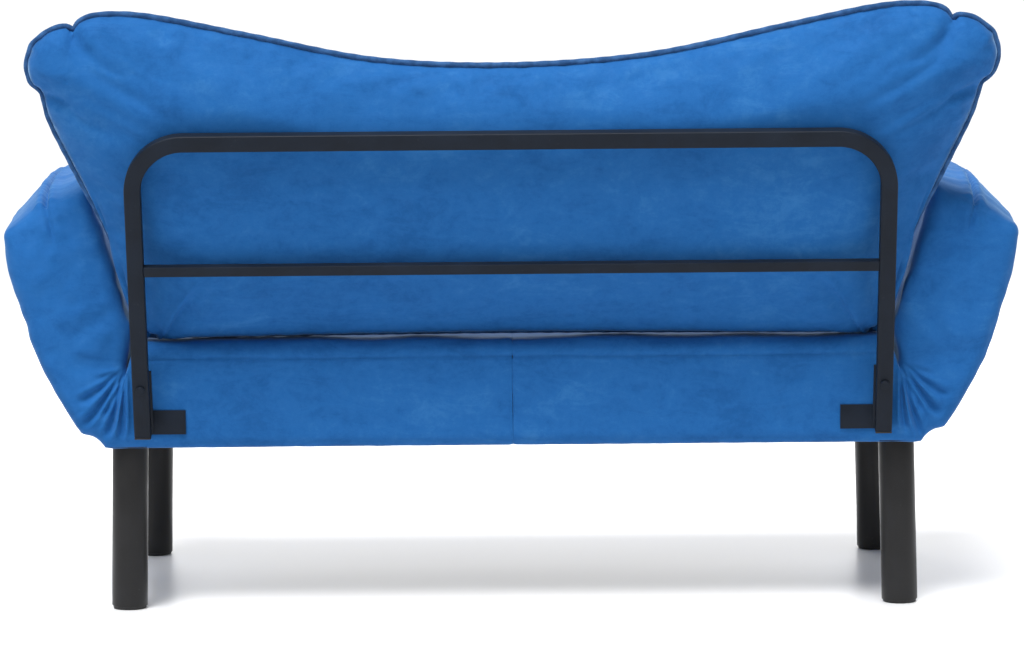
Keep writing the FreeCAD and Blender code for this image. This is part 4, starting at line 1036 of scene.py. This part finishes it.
def turned_round(sides, radius, depth, place, rim, hollow):
    """A round bar, standing, with its foot's face set in behind a rim."""
    clear_selection()
    bpy.ops.mesh.primitive_cylinder_add(vertices=sides, radius=radius, depth=depth, location=place)
    bar = bpy.context.object
    edit(bar)
    pick(bar, "faces", lambda face: face.normal.z < -0.9)
    bpy.ops.mesh.inset(thickness=rim)
    bpy.ops.transform.translate(value=(0, 0, hollow))
    done_editing()
    settle_transform(bar)
    return bar


class MESH_OT_futon_legs(bpy.types.Operator):
    """Turns the four round legs and their glide feet"""
    bl_idname = "mesh.futon_legs"
    bl_label = "Legs"

    def execute(self, context):
        for node in [name for name in frame["nodes"] if name.endswith("_leg")]:
            foot = node[:-4] + "_foot"
            side = 1 if node.startswith("left") else -1
            low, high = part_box(node)
            foot_low, foot_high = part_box(foot)
            head = Vector((side * LEG_REACH, (low.y + high.y) / 2, UNDERSIDE + 0.004))
            base = Vector(((foot_low.x + foot_high.x) / 2, head.y, 0.004))
            leg = turned_round(72, LEG_RADIUS, 1, (0, 0, 0.5), rim=0.0035, hollow=0.02)
            run = head - base
            leg.scale = (1, 1, run.length)
            settle_transform(leg)
            apply_modifier(leg, "BEVEL", width=0.0014, segments=3, limit_method="ANGLE",
                           angle_limit=math.radians(40))
            leg.rotation_mode = "QUATERNION"
            leg.rotation_quaternion = Vector((0, 0, 1)).rotation_difference(run.normalized())
            leg.location = base
            settle_transform(leg)
            smooth(leg)
            finish_piece(leg, node + "_turned", "leg_black", "root", node)

            glide = turned_round(64, LEG_RADIUS - 0.002, 0.018, (base.x, base.y, 0.009),
                                 rim=0.004, hollow=0.0012)
            apply_modifier(glide, "BEVEL", width=0.0012, segments=2, limit_method="ANGLE",
                           angle_limit=math.radians(30))
            smooth(glide)
            finish_piece(glide, foot + "_glide", "black_plastic", "root", foot)
        return {"FINISHED"}


class MESH_OT_futon_dust_cloth(bpy.types.Operator):
    """Staples the black dust cloth under the bench"""
    bl_idname = "mesh.futon_dust_cloth"
    bl_label = "Dust cloth"

    def execute(self, context):
        low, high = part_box("dust_cover")
        width, length = CLOTH_SIZE
        middle = Vector((0, (low.y + high.y) / 2, UNDERSIDE - 0.0012))
        clear_selection()
        bpy.ops.mesh.primitive_grid_add(x_subdivisions=130, y_subdivisions=60, size=1, location=middle)
        cloth = context.object
        cloth.scale = (width, length, 1)
        settle_transform(cloth)
        points = np.array([v.co for v in cloth.data.vertices])
        u = (points[:, 0] - middle.x) / (width / 2)
        v = (points[:, 1] - middle.y) / (length / 2)
        rim = np.minimum((1 - abs(u)) * width / 2, (1 - abs(v)) * length / 2)
        sag = 0.004 * (1 - u ** 4) * (1 - v ** 2)
        pleat = 0.0006 * hump(rim, 0.05) * unevenness(points, 0.05, 71)
        points[:, 2] -= sag * smoothstep(rim, 0.0, 0.08) + abs(pleat)
        cloth.data.vertices.foreach_set("co", points.ravel())
        apply_modifier(cloth, "SOLIDIFY", thickness=0.0008, offset=0)
        smooth(cloth, 60)
        finish_piece(cloth, "stapled_dust_cloth", "lining", "root", "dust_cover")

        staples = []
        spots = [(x, middle.y + s * (length / 2 - 0.006), True)
                 for x in np.arange(-0.50, 0.501, 0.05) for s in (-1, 1)]
        spots += [(s * (width / 2 - 0.006), middle.y + y, False)
                  for y in np.arange(-0.20, 0.201, 0.05) for s in (-1, 1)]
        for x, y, lengthwise in spots:
            clear_selection()
            bpy.ops.mesh.primitive_cube_add(size=1, location=(x, y, middle.z - 0.0012))
            staple = context.object
            staple.scale = (0.010, 0.0012, 0.0009) if lengthwise else (0.0012, 0.010, 0.0009)
            settle_transform(staple)
            staples.append(staple)
        clear_selection()
        for staple in staples:
            staple.select_set(True)
        context.view_layer.objects.active = staples[0]
        bpy.ops.object.join()
        joined = context.object
        apply_modifier(joined, "BEVEL", width=0.0002, segments=2)
        smooth(joined)
        finish_piece(joined, "dust_cloth_staples", "steel", "root")
        return {"FINISHED"}


# ------------------------------------------------------------------ stage

class SCENE_OT_futon_stage(bpy.types.Operator):
    """Lays the pale floor and sets the light and the camera"""
    bl_idname = "scene.futon_stage"
    bl_label = "Stage"

    def execute(self, context):
        stage = context.scene.futon_stage
        clear_selection()
        bpy.ops.mesh.primitive_plane_add(size=60, location=(0, 0, 0))
        floor = context.object
        floor.name = "studio_floor"
        paint = Paint("studio_floor", Specular_IOR_Level=0.25)
        cloud = paint.noise(1.2, 3, 0.5)
        tone = paint.mix(cloud, tuple(stage.floor), tuple(min(1, c * 1.02) for c in stage.floor))
        floor.data.materials.append(paint.finish(
            Base_Color=tone, Roughness=paint.between(cloud, 0.3, 0.7, 0.30, 0.36)))

        world = bpy.data.worlds.new("studio")
        context.scene.world = world
        world.use_nodes = True
        nodes, links = world.node_tree.nodes, world.node_tree.links
        place = nodes.new("ShaderNodeTexCoord")
        split = nodes.new("ShaderNodeSeparateXYZ")
        rise = nodes.new("ShaderNodeMapRange")
        for socket, value in (("From Min", 0.0), ("From Max", 1.0), ("To Min", stage.horizon),
                              ("To Max", stage.zenith)):
            rise.inputs[socket].default_value = value
        links.new(place.outputs["Generated"], split.inputs["Vector"])
        links.new(split.outputs["Z"], rise.inputs["Value"])
        links.new(rise.outputs["Result"], nodes["Background"].inputs["Strength"])
        nodes["Background"].inputs["Color"].default_value = (1, 1, 1, 1)
        lamps = {"key": ("SUN", (1.1, 2.7, 6.0), math.radians(32), stage.sun),
                 "under": ("AREA", (0, -3.2, 2.0), 3.0, stage.under)}
        for name, (kind, place, size, power) in lamps.items():
            light = bpy.data.lights.new(name, kind)
            setattr(light, "angle" if kind == "SUN" else "size", size)
            light.energy = power
            lamp = bpy.data.objects.new(name, light)
            lamp.location = place
            lamp.rotation_euler = (-Vector(place)).to_track_quat("-Z", "Y").to_euler()
            context.scene.collection.objects.link(lamp)

        lens = bpy.data.cameras.new("camera")
        lens.lens = stage.lens
        lens.sensor_width = 36
        camera = bpy.data.objects.new("camera", lens)
        context.scene.collection.objects.link(camera)
        yaw, pitch, roll = 0.002, 0.119, -0.009
        ahead = Vector((math.sin(yaw) * math.cos(pitch), -math.cos(yaw) * math.cos(pitch),
                        -math.sin(pitch)))
        right = ahead.cross(Vector((0, 0, 1))).normalized()
        above = right.cross(ahead)
        right, above = (right * math.cos(roll) + above * math.sin(roll),
                        above * math.cos(roll) - right * math.sin(roll))
        turn = Matrix((right, above, -ahead)).transposed()
        camera.matrix_world = Matrix.Translation(stage.eye) @ turn.to_4x4()
        lens.clip_end = 100
        context.scene.camera = camera
        context.scene.view_settings.view_transform = "Standard"
        return {"FINISHED"}


# ------------------------------------------------------------------ add-on

OPERATORS = (SCENE_OT_futon_stage, OBJECT_OT_futon_paints, MESH_OT_futon_bench, MESH_OT_futon_cushion,
             MESH_OT_futon_hoop, MESH_OT_futon_fittings, MESH_OT_futon_legs, MESH_OT_futon_dust_cloth)
SETTINGS = {"futon_fabric": FutonFabric, "futon_metal": FutonMetal, "futon_stage": FutonStage}


class VIEW3D_PT_futon(bpy.types.Panel):
    """Lists the futon's settings and its makers"""
    bl_idname = "VIEW3D_PT_futon"
    bl_label = "Futon sofa bed"
    bl_space_type = "VIEW_3D"
    bl_region_type = "UI"
    bl_category = "Futon"

    def draw(self, context):
        for name in SETTINGS:
            box = self.layout.box()
            group = getattr(context.scene, name)
            for key in group.__annotations__:
                box.prop(group, key)
        for operator in OPERATORS:
            self.layout.operator(operator.bl_idname)


def register():
    for name, group in SETTINGS.items():
        bpy.utils.register_class(group)
        setattr(bpy.types.Scene, name, PointerProperty(type=group))
    for part in (*OPERATORS, VIEW3D_PT_futon):
        bpy.utils.register_class(part)


def unregister():
    for part in (VIEW3D_PT_futon, *reversed(OPERATORS)):
        bpy.utils.unregister_class(part)
    for name, group in SETTINGS.items():
        delattr(bpy.types.Scene, name)
        bpy.utils.unregister_class(group)


def main():
    register()
    clear_selection()
    for operator in OPERATORS:
        family, name = operator.bl_idname.split(".")
        getattr(getattr(bpy.ops, family), name)()


if __name__ == "__main__":
    main()
